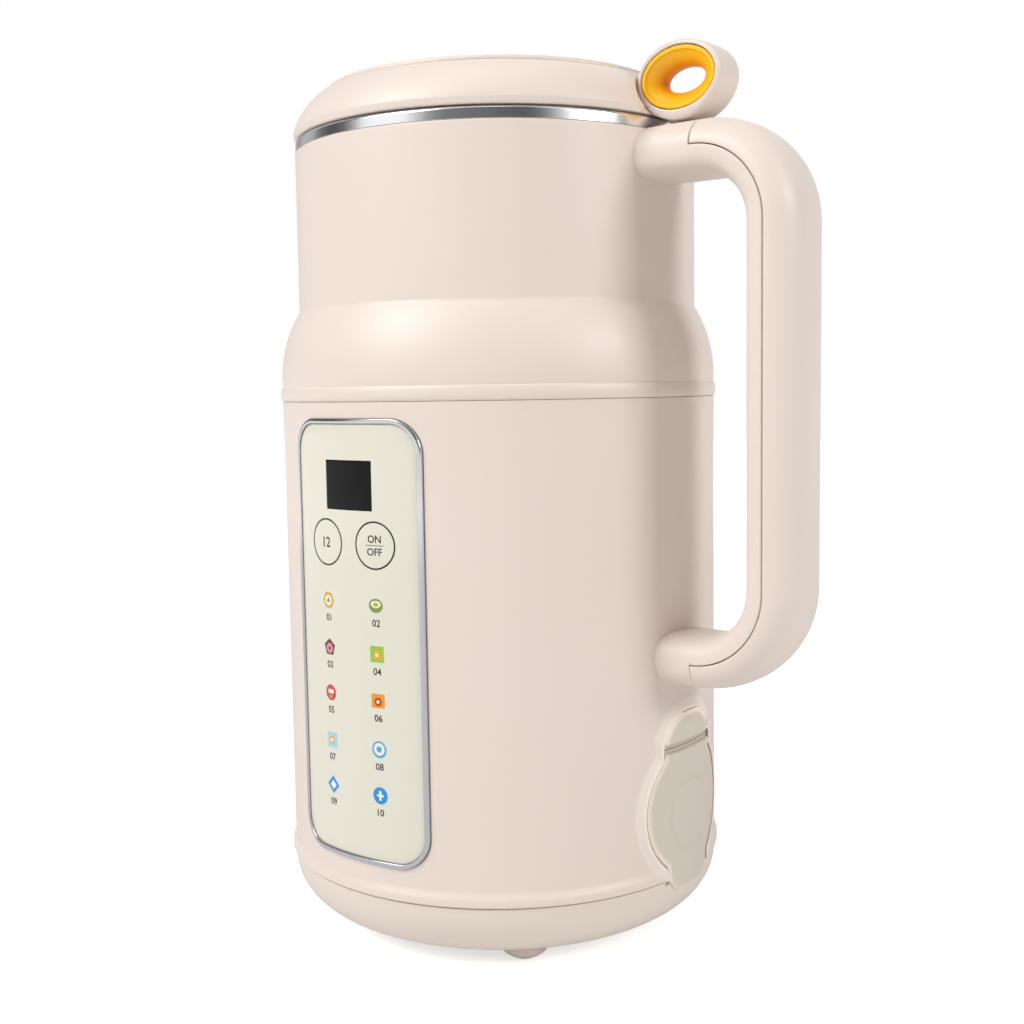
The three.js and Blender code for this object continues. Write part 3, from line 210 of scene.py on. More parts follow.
# %% Profiles with rounded corners
def rounded(corners, closed=False, steps=6):
    """Each corner (x, y, radius) becomes an arc that touches both of its sides: the arc starts
    radius * tan(turn / 2) before the corner and turns about a centre one radius to the side."""
    places = [np.array(corner[:2], float) for corner in corners]
    line = []
    for i, corner in enumerate(corners):
        ends = not closed and i in (0, len(corners) - 1)
        if ends or corner[2] == 0:
            line.append(places[i])
            continue
        before, after = places[i] - places[i - 1], places[(i + 1) % len(places)] - places[i]
        before_length, after_length = np.linalg.norm(before), np.linalg.norm(after)
        before, after = before / before_length, after / after_length
        turn = math.atan2(before[0] * after[1] - before[1] * after[0], before @ after)
        reach = corner[2] * math.tan(abs(turn) / 2)
        side = math.copysign(1, turn)
        centre = places[i] - before * reach + side * corner[2] * np.array([-before[1], before[0]])
        guard = 0.35 * corner[2]
        if before_length > 2 * (reach + guard):
            line.append(places[i] - before * (reach + guard))
        for step in range(steps + 1):
            angle = turn * step / steps
            arm = -side * corner[2] * np.array([-before[1], before[0]])
            c, s = math.cos(angle), math.sin(angle)
            line.append(centre + np.array([arm[0] * c - arm[1] * s, arm[0] * s + arm[1] * c]))
        if after_length > 2 * (reach + guard):
            line.append(places[i] + after * (reach + guard))
    return np.array(line)


def rings(radius, angle, height, x=AXIS_X, y=0.0):
    """Places about an upright line: x + radius * cos(angle), y + radius * sin(angle) and height.
    The line is the machine's axis unless x and y say otherwise."""
    places = (x + radius * np.cos(angle), y + radius * np.sin(angle), height)
    return np.stack(np.broadcast_arrays(*places), -1)


def turned(profile, closed=True, sides=SIDES):
    """Carries each profile point (radius, height) round the machine's axis."""
    angle = np.linspace(0, TURN, sides, endpoint=False)
    radius, height = np.asarray(profile, float).T[:, :, None]
    return surface(rings(radius, angle, height), wrap_rows=closed)


print("a full round has", SIDES, "columns")

# %% [markdown]
# Finishes are made of shader nodes. One helper adds a node with its settings and links, and one
# turns a written colour into the linear numbers that the renderer works with. Pattern sizes are
# real: a noise whose scale is 1 / size has features of about that size.

# %% Helpers for finishes
DRIFT_MM, ROUGH_SPREAD = 45, 0.04


def linear(code):
    """A colour written as sRGB hex, as linear red, green, blue and alpha."""
    parts = [int(code[i:i + 2], 16) / 255 for i in (0, 2, 4)]
    return [p / 12.92 if p <= 0.04045 else ((p + 0.055) / 1.055) ** 2.4 for p in parts] + [1]


def add_node(tree, kind, settings=None, **links):
    """Adds a node. settings are its own values; links name inputs and what feeds or fills them."""
    made = tree.nodes.new(kind)
    for key, value in (settings or {}).items():
        setattr(made, key, value)
    for key, value in links.items():
        by_number = key[0] == "i" and key[1:].isdigit()
        socket = made.inputs[int(key[1:]) if by_number else key.replace("_", " ")]
        if isinstance(value, bpy.types.NodeSocket):
            tree.links.new(value, socket)
        else:
            socket.default_value = value
    return made


def object_place(tree):
    """The place on the object itself, in metres, so that a pattern rides with its part."""
    return add_node(tree, "ShaderNodeTexCoord").outputs["Object"]


def maths(tree, operation, *values):
    """One sum on up to three numbers, such as MULTIPLY or MAXIMUM."""
    inputs = {f"i{number}": value for number, value in enumerate(values)}
    return add_node(tree, "ShaderNodeMath", {"operation": operation}, **inputs).outputs[0]


def blend(tree, share, first, second):
    """The colour first * (1 - share) + second * share."""
    mix = add_node(tree, "ShaderNodeMix", {"data_type": "RGBA"}, Factor=share, i6=first, i7=second)
    return mix.outputs[2]


def ranged(tree, value, start, end, low=0.0, high=1.0):
    """A value carried over from the range start to end to the range low to high."""
    return add_node(tree, "ShaderNodeMapRange", Value=value, From_Min=start, From_Max=end,
                    To_Min=low, To_Max=high).outputs["Result"]


def bumped(tree, shader, height, depth_mm, strength=1.0):
    """Shades a surface as if it had these heights, at that depth."""
    bump = add_node(tree, "ShaderNodeBump", Height=height, Distance=depth_mm * MM, Strength=strength)
    tree.links.new(bump.outputs["Normal"], shader.inputs["Normal"])


def finish(name, colour, roughness, **constants):
    """A material whose shader has these constants set on its own sockets."""
    material = bpy.data.materials.new(name)
    material.use_nodes = True
    shader = material.node_tree.nodes["Principled BSDF"]
    shader.inputs["Base Color"].default_value = linear(colour)
    shader.inputs["Roughness"].default_value = roughness
    for key, value in constants.items():
        shader.inputs[key.replace("_", " ")].default_value = value
    return material, material.node_tree, shader


def moulded(name, colour, shade, roughness, grain_mm, depth_mm, rim=None, **constants):
    """Moulded plastic or rubber: two near tints that drift over some centimetres, and a fine grain
    from the spark-eroded mould that breaks up the shine. A rim colour paints a highlight where the
    mesh's own value "rim" is high, along the edges round the inlet."""
    material, tree, shader = finish(name, colour, roughness, **constants)
    where = object_place(tree)
    drift = add_node(tree, "ShaderNodeTexNoise", Vector=where, Scale=1 / (DRIFT_MM * MM), Detail=2)
    tint = blend(tree, drift.outputs["Fac"], linear(colour), linear(shade))
    # The rim colour is a painted highlight, mixed in by the mesh's value "rim".
    if rim:
        share = add_node(tree, "ShaderNodeAttribute", {"attribute_name": "rim"}).outputs["Fac"]
        tint = blend(tree, share, tint, linear(rim))
    tree.links.new(tint, shader.inputs["Base Color"])
    grain = add_node(tree, "ShaderNodeTexNoise", Vector=where, Scale=1 / (grain_mm * MM), Detail=3)
    bumped(tree, shader, grain.outputs["Fac"], depth_mm)
    rough = ranged(tree, grain.outputs["Fac"], 0, 1, roughness - ROUGH_SPREAD, roughness + ROUGH_SPREAD)
    tree.links.new(rough, shader.inputs["Roughness"])
    return material


def brushed(name, colour, roughness, stretch, line_mm):
    """Metal with fine lines from turning or drawing: a noise squeezed along one direction."""
    material, tree, shader = finish(name, colour, roughness, Metallic=1.0)
    squeezed = add_node(tree, "ShaderNodeMapping", Vector=object_place(tree), Scale=stretch)
    lines = add_node(tree, "ShaderNodeTexNoise", Vector=squeezed.outputs["Vector"],
                     Scale=1 / (line_mm * MM), Detail=2).outputs["Fac"]
    rough = ranged(tree, lines, 0, 1, roughness - 0.08, roughness + 0.1)
    tree.links.new(rough, shader.inputs["Roughness"])
    bumped(tree, shader, lines, 0.004, 0.6)
    return material


print("tints drift over", DRIFT_MM, "mm")

# %% [markdown]
# The casing is polypropylene moulded in a warm cream with a satin face: a soft, wide shine over a
# grain too fine to see from a step away. The grain is drawn at 0.6 mm, coarser than the real one,
# so that it still shows as a slight softness in the shine.

# %% Finishes of the casing
# A wide soft shine, and a paler rim colour round the inlet that is a painted highlight.
cream_plastic = moulded("cream_polypropylene_satin", "E9DCD4", "E6D8CE", 0.42, 0.6, 0.006, "FDF3EC")
# The same cream a little duller, as on the part that stands in its own shadow.
base_plastic = moulded("cream_polypropylene_matt", "E8DCD3", "E4D8CE", 0.5, 0.5, 0.01)
# A clear coat lays a second, sharper shine over the pale print.
panel_plastic = moulded("pale_film_clear_coat", "E4E1D3", "E1DDCE", 0.3, 0.8, 0.002, Coat_Weight=0.3)
# Silicone hardly shines, and a paler rim colour on its edges is a painted highlight. The copy for the fold is
# darker: painted shade where the fold lies deep.
silicone = moulded("cream_silicone_matt", "D9CFC5", "D5CABF", 0.62, 0.4, 0.012, "FAEEE3")
fold_silicone_painted_shade = moulded("cream_silicone_painted_shade", "C6BCB0", "C1B7AB", 0.62, 0.4, 0.012)
# Rubber is the dullest of the creams.
foot_rubber = moulded("cream_rubber_matt", "DCD1C6", "D8CCC0", 0.7, 0.4, 0.01)
# Light goes a little way into the milky seals.
clear_silicone = moulded("milky_silicone_smooth", "D9D6D0", "D3D0C9", 0.38, 0.6, 0.004,
                         Subsurface_Weight=0.2, Subsurface_Scale=0.002)
# The insert is yellow. Towards its waist, deep in the throat, it is painted a deeper orange: painted shade.
golden = moulded("golden_soft_plastic", "FFC008", "FDB803", 0.34, 0.8, 0.004)
tree = golden.node_tree
# Painted shade: the deeper orange grows towards the middle of the throat, by the distance along the loop's
# depth.
across = add_node(tree, "ShaderNodeSeparateXYZ", Vector=object_place(tree)).outputs["Y"]
depth = ranged(tree, maths(tree, "ABSOLUTE", across), 0.5 * MM, 4.6 * MM)
tint = blend(tree, depth, linear("EE8E00"), linear("FFC40C"))
tree.links.new(tint, tree.nodes["Principled BSDF"].inputs["Base Color"])
# The metals mirror the cards round the scene, and fine lines smear what they mirror.
chrome = brushed("chrome_plated_plastic", "C6C6CA", 0.12, (1, 1, 0.1), 0.5)
steel_bright = brushed("stainless_steel_polished", "F0F0F2", 0.17, (1, 1, 14), 0.5)
# Dull dark nylon in the socket, and a window that is black and smooth like glass.
dark_plastic = moulded("dark_nylon_moulded", "3A3634", "33302E", 0.5, 0.5, 0.01)
black_window = moulded("black_acrylic_polished", "040404", "060606", 0.1, 2.0, 0.001,
                       Specular_IOR_Level=0.16)
print("finishes so far:", len(bpy.data.materials))

# %% [markdown]
# The base is a dish whose side rolls under in one even curve, an exponent a little over two. Its
# top edge has a small dip on the right where the tongue of the silicone cover reaches down.

# %% Base cover
INLET_MIDDLE, INLET_RADIUS, INLET_OFFSET = 37.3, 17.6, 2.4
TONGUE_HALF, TONGUE_BOTTOM = 9.9, 15.4
COVER_GAP = 0.5
BASE_RIM, BASE_FLAT, BASE_UNDER, BASE_POWER, BASE_WALL = 60.2, 37.3, 2.2, 2.3, 2.4
TONGUE_POWER = 3.2


def superellipse_line(start, end, power, steps):
    """From start (outer, upright) to end (inner, level): across = cos(t) ** (2 / power) and
    down = sin(t) ** (2 / power)."""
    t = np.linspace(0, math.pi / 2, steps)
    across, down = np.cos(t) ** (2 / power), np.sin(t) ** (2 / power)
    return np.stack([
        end[0] + (start[0] - end[0]) * across,
        start[1] + (end[1] - start[1]) * down,
    ], -1)


def base_surface():
    """Rows run down from the rim to the middle of the underside. Near the tongue the rim row drops
    by a superellipse of the distance across, y = half * cos(t), drop = depth * sin(t)."""
    half, depth = TONGUE_HALF + COVER_GAP, BASE_TOP - TONGUE_BOTTOM + COVER_GAP
    t = np.linspace(math.pi, 0, 61)
    power = 2 / TONGUE_POWER
    across = half * np.sign(np.cos(t)) * np.abs(np.cos(t)) ** power
    dip = depth * np.abs(np.sin(t)) ** power
    notch_angle = np.arcsin((across + INLET_OFFSET) / BASE_RIM)
    rest = np.linspace(notch_angle[-1], TURN + notch_angle[0], SIDES)[1:-1]
    angle = np.concatenate([notch_angle, rest])
    drop = np.concatenate([dip, 0 * rest])
    side = superellipse_line((BASE_RIM, BASE_TOP), (BASE_FLAT, BASE_UNDER), BASE_POWER, 48)
    flat = np.array([[BASE_FLAT * share, BASE_UNDER] for share in (0.98, 0.8, 0.5, 0.2, 0)])
    profile = np.vstack([side, flat])
    height = np.minimum(profile[:, 1:], BASE_TOP - drop)
    return surface(rings(profile[:, :1], angle, height))


base = piece("base_dish", base_surface(), "body", "base_plastic", base_plastic, "base_cover")
walled(base, BASE_WALL)

# %% [markdown]
# The underside has five slots that let the motor's air out, and three deep wells for the screws that
# hold the base. Cutters take them out of the dish's whole wall, and each well gets a cup of its own.

# %% Vents and screw wells
VENT_SPACING, VENT_HALF_WIDE, VENT_HALF_LONG, VENT_CUT = 4.5, 1.0, 10.0, 7.0
SCREW_OFFSET, SCREW_RADIUS, SCREW_HEIGHT, CROSS_DEPTH = 42.0, 3.3, 2.0, 1.1
WELL_RADIUS, WELL_TOP, WELL_FOOT, WELL_WALL = 3.6, 8.0, 3.4, 1.3
THIRDS = [math.radians(a) for a in (60, 180, 300)]


def prism(outline, low, high):
    """A closed upright prism over (x, y) points: two rings and a point in the middle of each end."""
    middle = np.tile(outline.mean(0), (len(outline), 1))
    ends = [(middle, low), (outline, low), (outline, high), (middle, high)]
    return surface(np.stack([np.column_stack([line, np.full(len(line), z)]) for line, z in ends]))


def round_line(x, y, radius, half_long=0.0, steps=40):
    """A circle about (x, y), or with a half length a slot along y with round ends."""
    t = (np.arange(steps) + 0.5) * TURN / steps
    return np.stack([x + radius * np.cos(t), y + radius * np.sin(t) + np.sign(np.sin(t)) * half_long], -1)


def carved(thing, cutters):
    """Cuts closed meshes out of an object with its modifiers, and returns what is left."""
    tool = placed("cutter", joined(*cutters))
    cut = thing.modifiers.new("cut", "BOOLEAN")
    cut.operation, cut.solver, cut.object = "DIFFERENCE", "EXACT", tool
    left = evaluated(thing)
    thing.modifiers.clear()
    bpy.data.objects.remove(tool)
    return clean(left, False)


vent_straight = VENT_HALF_LONG - VENT_HALF_WIDE
vents = [prism(round_line(AXIS_X + i * VENT_SPACING, 0, VENT_HALF_WIDE, vent_straight), 0, VENT_CUT)
         for i in range(-2, 3)]
screw_places = [(AXIS_X + SCREW_OFFSET * math.cos(a), SCREW_OFFSET * math.sin(a)) for a in THIRDS]
wells = [prism(round_line(x, y, WELL_RADIUS), 0, WELL_TOP) for x, y in screw_places]
dish = carved(base, vents + wells)


def cup_of_well(x, y):
    """The well's wall and floor, as a closed shell from inside the dish's wall up past the floor."""
    t = np.linspace(0, TURN, 48, endpoint=False)
    outer, top = WELL_RADIUS + WELL_WALL, WELL_TOP + 1.2
    line = np.array([
        (0, WELL_TOP), (WELL_RADIUS - 0.01, WELL_TOP), (WELL_RADIUS, WELL_TOP - 0.1),
        (WELL_RADIUS, WELL_FOOT), (WELL_RADIUS + 0.6, WELL_FOOT), (outer, WELL_FOOT + 1.2), (outer, top),
        (0, top),
    ])
    return surface(rings(line[:, :1], t, line[:, 1:], x, y))


sheet = base.data
base.data = joined(dish, *(cup_of_well(x, y) for x, y in screw_places))
bpy.data.meshes.remove(sheet)
base.data.name = "base_dish"
base.data.materials.append(base_plastic)


def screw_head(name, x, y, seat, stands_for, body):
    """A pan head that looks down from its seat. Its height is SCREW_HEIGHT * (1 - share ** 6) ** 0.5,
    where share is r / SCREW_RADIUS, less a cross whose arms have slanted sides."""
    t = np.linspace(0, TURN, 96, endpoint=False)
    r = np.concatenate([np.linspace(0, 2.7, 28), [2.9, 3.05, 3.15, 3.22, 3.27, SCREW_RADIUS]])[:, None]
    across, along = np.abs(r * np.cos(t)), np.abs(r * np.sin(t))
    arms = [np.clip((0.55 - a) / 0.2, 0, 1) * np.clip((1.9 - b) / 0.35, 0, 1)
            for a, b in ((across, along), (along, across))]
    height = SCREW_HEIGHT * np.sqrt(1 - (r / SCREW_RADIUS) ** 6) - CROSS_DEPTH * np.maximum(*arms)
    face = rings(r, t, seat - height, x, y)
    back = np.broadcast_to(np.array([x, y, seat]), face[:1].shape)
    piece(name, surface(np.concatenate([face, back])), body, "steel", steel_bright, stands_for)


for number, (x, y) in enumerate(screw_places, 1):
    screw_head(f"base_screw_head_{number}", x, y, WELL_TOP - 0.3, f"base_screw_{number}", "body")

# %% [markdown]
# The opening for the power inlet is a round with a narrower head above it and a tongue below it.
# Seen from its middle, each of the three shapes is a distance that depends on the direction, and
# a soft maximum of the three gives one outline with small fillets where they meet.

# %% Outline of the inlet cover
HEAD_HALF, HEAD_TOP, HEAD_CORNER, TONGUE_CORNER = 11.3, 62.5, 9.3, 6.0
SOFTNESS, FOLD_SOFTNESS, FAR = 34, 60.0, 999.0
# The painted highlight round the inlet: where it starts to fade, the lip's foot, its least share there, and
# its share on the base.
HIGHLIGHT_START, HIGHLIGHT_FOOT, HIGHLIGHT_LEAST, HIGHLIGHT_ON_BASE = 0.5, 3.4, 0.35, 0.4


def ray_to_strip(dy, dz, half, reach, corner):
    """Distance from the middle along (dy, dz) to a strip of that half width which ends in a round
    of radius corner at the height reach."""
    side = half / np.maximum(np.abs(dy), 1e-9)
    centre = reach - corner
    inner = half - corner
    y = np.abs(dy)
    b = y * inner + dz * centre
    inside = np.maximum(b * b - (inner * inner + centre * centre - corner * corner), 0)
    end = b + np.sqrt(inside)
    flat = reach / dz
    end = np.where(flat * y <= inner, flat, end)
    return np.where(side * dz <= centre, side, end)


def inlet_reach(angle, fold=None):
    """Distance from the inlet's middle to the cover's edge, at an angle from straight up. With a
    fold, the outline is cut off level at that height over the middle, by a soft minimum."""
    dy, dz = np.sin(angle), np.cos(angle)
    up, down = np.maximum(dz, 0.02), np.maximum(-dz, 0.02)
    head = ray_to_strip(dy, up, HEAD_HALF, HEAD_TOP - INLET_MIDDLE, HEAD_CORNER)
    head = np.where(dz > 0.02, head, 1)
    tongue = ray_to_strip(dy, down, TONGUE_HALF, INLET_MIDDLE - TONGUE_BOTTOM, TONGUE_CORNER)
    tongue = np.where(dz < -0.02, tongue, 1)
    whole = (INLET_RADIUS ** SOFTNESS + head ** SOFTNESS + tongue ** SOFTNESS) ** (1 / SOFTNESS)
    if fold is not None:
        limit = np.where(dz > 0.02, fold / up, FAR)
        whole = (whole ** -FOLD_SOFTNESS + limit ** -FOLD_SOFTNESS) ** (-1 / FOLD_SOFTNESS)
    return whole


def slant(angle, reach):
    """How much longer a step along the ray is than a step square to the outline."""
    change = np.gradient(reach, angle)
    return np.sqrt(1 + (change / reach) ** 2)


def paint_edge_highlight(mesh, side, width):
    """Paints a highlight: sets the mesh's value "rim", the share of the paler rim colour, from the
    distance to the cover's outline, outside it (side 1) or inside it (side -1): 1 - distance / width
    past the first half millimetre, and on the lip at least the least share up to its foot."""
    x, y, z = places_of(mesh).T
    y, z = y - INLET_OFFSET, z - INLET_MIDDLE
    fine = np.linspace(-math.pi, math.pi, 2001)
    reach = inlet_reach(fine)
    angle = np.arctan2(y, z)
    past = np.hypot(y, z) - np.interp(angle, fine, reach)
    distance = side * past / np.interp(angle, fine, slant(fine, reach))
    outer = (x > AXIS_X) & (np.hypot(x - AXIS_X, y + INLET_OFFSET) > HOUSING_RADIUS - 0.1)
    share = np.clip(1 - (distance - HIGHLIGHT_START) / width, 0, 1)
    if side > 0:
        share = np.maximum(share, HIGHLIGHT_LEAST * np.clip((HIGHLIGHT_FOOT - distance) / 0.5, 0, 1))
    share = share * outer * np.where(z + INLET_MIDDLE < BASE_TOP, HIGHLIGHT_ON_BASE, 1.0)
    mesh.attributes.new("rim", "FLOAT", "POINT").data.foreach_set("value", share.astype(np.float32))


def on_side(across, height, radius):
    """A point across and up on a cylinder about the axis, on its side towards +X."""
    return np.stack([AXIS_X + np.sqrt(np.maximum(radius ** 2 - across ** 2, 0)), across, height], -1)


def on_front(across, height, radius):
    """A point across and up on a cylinder about the axis, on its side towards -Y."""
    return np.stack([AXIS_X + across, -np.sqrt(np.maximum(radius ** 2 - across ** 2, 0)), height], -1)


print("the cover reaches", round(float(inlet_reach(np.array([0.0]))[0]), 1), "mm up from its middle")

# %% [markdown]
# The lower housing is a drum whose bottom edge steps out in a low skirt. Round the inlet its wall
# rises in a soft lip. The drum is a plain grid, except for a patch round the inlet whose lines run
# out from the opening like rays, and its outer points are those of the drum's grid.

# %% Lower housing
HOUSING_RADIUS, HOUSING_WALL = 60.1, 2.6
SKIRT_RISE, LIP_RISE, LIP_WIDTH = 0.75, 1.35, 3.8
PATCH_HALF, PATCH_TOP = 27.0, 78.0


def smooth(value, low, high):
    """0 below low, 1 above high, and an even S between them."""
    t = np.clip((value - low) / (high - low), 0, 1)
    return t * t * (3 - 2 * t)


def housing_radius(height, lip=0.0):
    """The drum's radius, with the skirt and the inlet's lip blended by the fourth root of the sum
    of their fourth powers. The lower edge is rounded by 0.4 mm."""
    skirt = SKIRT_RISE * (1 - smooth(height, HOUSING_BOTTOM + 1.7, HOUSING_BOTTOM + 4.0))
    edge = np.clip(1 - (height - HOUSING_BOTTOM) / 0.5, 0, 1)
    return HOUSING_RADIUS + (skirt ** 4 + lip ** 4) ** 0.25 - 0.4 * edge ** 2


def lip_height(distance):
    """The lip falls from its crest to the drum as (1 - distance / width) ** 1.8, and is rounded
    over its last few tenths towards the opening."""
    fall = np.clip(1 - distance / LIP_WIDTH, 0, 1) ** 1.8
    edge = np.clip(1 - distance / 0.35, 0, 1)
    return LIP_RISE * fall - 0.4 * edge ** 2


LOW_ROWS = [0, 0.12, 0.3, 0.5, 1.0, 1.5, 1.7, 1.9, 2.2, 2.5, 2.85, 3.2, 3.5, 3.8, 4.0, 4.2, 5.0]


def housing_mesh():
    """The drum round the back, the drum over the patch, and the patch, which share their edges."""
    low = HOUSING_BOTTOM + np.array(LOW_ROWS)
    rows = np.concatenate([low, np.arange(low[-1] + 1, PATCH_TOP, 0.9), [PATCH_TOP]])
    top = np.linspace(PATCH_TOP, HOUSING_TOP - 0.6, 16)[1:]
    top = np.concatenate([top, HOUSING_TOP - np.array([0.3, 0.1, 0])])
    across = PATCH_HALF * np.linspace(-1, 1, 61)
    patch_angle = np.arcsin((across + INLET_OFFSET) / HOUSING_RADIUS)
    rest = np.linspace(patch_angle[-1], TURN + patch_angle[0], 200)

    def drum(angle, height):
        grid = rings(housing_radius(height)[:, None], angle, height[:, None])
        return surface(grid, wrap_columns=False, outward=False)

    around = drum(rest, np.concatenate([rows, top]))
    over = drum(patch_angle, np.concatenate([[PATCH_TOP], top]))

    # The patch's outer points run along its foot, up one side, over the top and down the other.
    foot = np.linspace(TONGUE_HALF + COVER_GAP, PATCH_HALF, 18)
    edge = PATCH_HALF * np.ones_like(rows)
    outer_y = np.concatenate([foot, edge[1:], across[::-1][1:], -edge[1:-1], -foot[::-1]])
    outer_z = np.concatenate([
        0 * foot + HOUSING_BOTTOM, rows[1:], 0 * across[1:] + PATCH_TOP, rows[::-1][1:-1],
        0 * foot + HOUSING_BOTTOM,
    ])
    angle = np.arctan2(outer_y, outer_z - INLET_MIDDLE)
    far = np.hypot(outer_y, outer_z - INLET_MIDDLE)
    fine = np.linspace(-math.pi, math.pi, 4001)
    reach = inlet_reach(fine)
    near = np.minimum(np.interp(angle, fine, reach + COVER_GAP * slant(fine, reach)), far)
    stretch = np.interp(angle, fine, slant(fine, reach))
    step = np.concatenate([[0, 0.12, 0.25, 0.4, 0.6, 0.9, 1.2], np.linspace(1.45, LIP_WIDTH, 12)])
    ring = near + step[:, None] * stretch
    outer_share = np.linspace(0, 1, 33)[1:, None]
    last = ring[-1]
    ring = np.vstack([ring, last + (np.maximum(far, last) - last) * outer_share])
    ring = np.minimum(ring, far)
    distance = (ring - near) / stretch
    y = ring * np.sin(angle)
    z = INLET_MIDDLE + ring * np.cos(angle)
    # The lip fades towards the patch's edge, so that its points lie on the plain drum.
    from_middle = np.maximum(
        np.abs(y) / PATCH_HALF, (z - INLET_MIDDLE) / (PATCH_TOP - INLET_MIDDLE))
    fade = 1 - smooth(from_middle, 0.9, 1.0)
    lip = np.maximum(lip_height(distance), 0) * fade
    inner = np.minimum(lip_height(distance), 0)
    radius = housing_radius(z, lip) + inner
    follow = smooth(np.abs(y) / PATCH_HALF, 0.8, 1.0)
    y = (y + INLET_OFFSET) * (1 + (radius / HOUSING_RADIUS - 1) * follow)
    patch = surface(on_side(y, z, radius), wrap_columns=False, outward=False)
    whole = clean(joined(around, over, patch))
    for part in (around, over, patch):
        bpy.data.meshes.remove(part)
    # A painted highlight along the lip round the opening.
    paint_edge_highlight(whole, 1, 1.5)
    return whole


def face_out(mesh):
    """Flips an open sheet about the axis if its faces point inwards, which the sum over the faces
    of normal . (centre - axis) tells."""
    centres, normals = np.empty((2, len(mesh.polygons) * 3), np.float32)
    mesh.polygons.foreach_get("center", centres)
    mesh.polygons.foreach_get("normal", normals)
    out = centres.reshape(-1, 3) - np.array([AXIS_X * MM, 0, 0])
    if (out * normals.reshape(-1, 3))[:, :2].sum() < 0:
        mesh.flip_normals()
    return mesh


housing_sheet = face_out(housing_mesh())
housing = piece("housing_drum", housing_sheet, "body", "cream_plastic", cream_plastic, "lower_housing")
walled(housing, HOUSING_WALL)

# %% [markdown]
# The neck sleeve sits in the housing's top. A half-round bead marks the joint, a convex shoulder
# leads in to the crease, and the neck runs straight up to the cup's rolled rim.

# %% Neck sleeve
NECK_RADIUS, CREASE, SHOULDER_START = 54.9, 168.6, 150.2
BEAD_LOW, BEAD_HIGH, BEAD_RISE = 144.2, 148.0, 0.5


def neck_profile():
    """The bead is half an ellipse on the housing's radius. The shoulder is an arc whose centre is
    level with its start: radius = (rise^2 + drop^2) / (2 * drop)."""
    bead_t = np.linspace(-math.pi / 2, math.pi / 2, 13)
    bead = np.stack([
        HOUSING_RADIUS - 0.1 + (BEAD_RISE + 0.1) * np.cos(bead_t),
        (BEAD_LOW + BEAD_HIGH) / 2 + (BEAD_HIGH - BEAD_LOW) / 2 * np.sin(bead_t),
    ], -1)
    drop, rise = HOUSING_RADIUS - NECK_RADIUS, CREASE - SHOULDER_START
    radius = (rise * rise + drop * drop) / (2 * drop)
    up = np.linspace(0, rise, 24)
    bulge = HOUSING_RADIUS - radius + np.sqrt(radius * radius - up * up)
    shoulder = np.stack([bulge, SHOULDER_START + up], -1)
    neck = [[NECK_RADIUS, CREASE + 0.3], [NECK_RADIUS, CREASE + 3], [NECK_RADIUS, (CREASE + NECK_TOP) / 2]]
    neck_inside, spigot_inside, spigot_outside = NECK_RADIUS - 2.2, HOUSING_RADIUS - 5.2, HOUSING_RADIUS - 2.9
    rim = rounded([
        (NECK_RADIUS, CREASE + 10, 0), (NECK_RADIUS, NECK_TOP, 0.4), (neck_inside, NECK_TOP, 0.3),
        (neck_inside, CREASE, 2), (spigot_inside, SHOULDER_START, 1), (spigot_inside, HOUSING_TOP - 6, 0),
        (spigot_outside, HOUSING_TOP - 6, 0), (spigot_outside, BEAD_LOW, 0),
        (HOUSING_RADIUS - 0.5, BEAD_LOW, 0),
    ])
    return np.vstack([bead, [[HOUSING_RADIUS, SHOULDER_START - 1.5]], shoulder, neck, rim[1:]])


piece("neck_sleeve_shell", turned(neck_profile()), "body", "cream_plastic", cream_plastic, "neck_sleeve")

# %% [markdown]
# The cup is drawn from stainless steel. Its rolled rim shows as a bright band under the lid, and
# its inside shows when the lid is off.

# %% Steel cup
LIP_RADIUS, CUP_RADIUS, CUP_FLOOR, CUP_CORNER = 54.8, 50.4, 92.0, 14.0
SEAL_HOLE = 9.55

cup_profile = rounded([
    (SEAL_HOLE, CUP_FLOOR, 0.2), (CUP_RADIUS, CUP_FLOOR, CUP_CORNER), (CUP_RADIUS, NECK_TOP + 0.04, 0.5),
    (LIP_RADIUS, NECK_TOP + 0.04, 0.05), (LIP_RADIUS, LIP_TOP, 0.8), (CUP_RADIUS - 1, LIP_TOP, 1.0),
    (CUP_RADIUS - 1, CUP_FLOOR + 1, CUP_CORNER - 1), (SEAL_HOLE, CUP_FLOOR + 1, 0.2),
], closed=True, steps=10)
piece("cup_drawn", turned(cup_profile), "body", "steel", steel_bright, "steel_cup")

# %% [markdown]
# The lid's shell starts at a thin dark gap over the steel band, swells in a soft belly and rolls
# over to a flat top, which a shallow cap covers.

# %% Lid shell and crown
BELLY_RADIUS, BELLY_HEIGHT, LID_TOP, LID_FLAT, LID_POWER = 55.2, 216.1, 226.5, 47.0, 1.4
LID_WALL, CROWN_RADIUS, CROWN_GAP, CROWN_TOP = 2.4, 46.6, 0.15, LID_TOP + 1.3
NOTCH_HALF, NOTCH_SLANT, NOTCH_GAP = 5.2, 0.646, 0.15
LOOP_REACH, LOOP_HEIGHT, LOOP_TILT, LOOP_DEPTH = 62.2, 222.55, math.radians(2.7), 10.4
INSERT_WIDE, INSERT_HIGH, WAIST_WIDE, WAIST_HIGH = 10.6, 7.7, 5.8, 3.0
LOOP_WALL, LOOP_SEAT = 1.3, 1.1


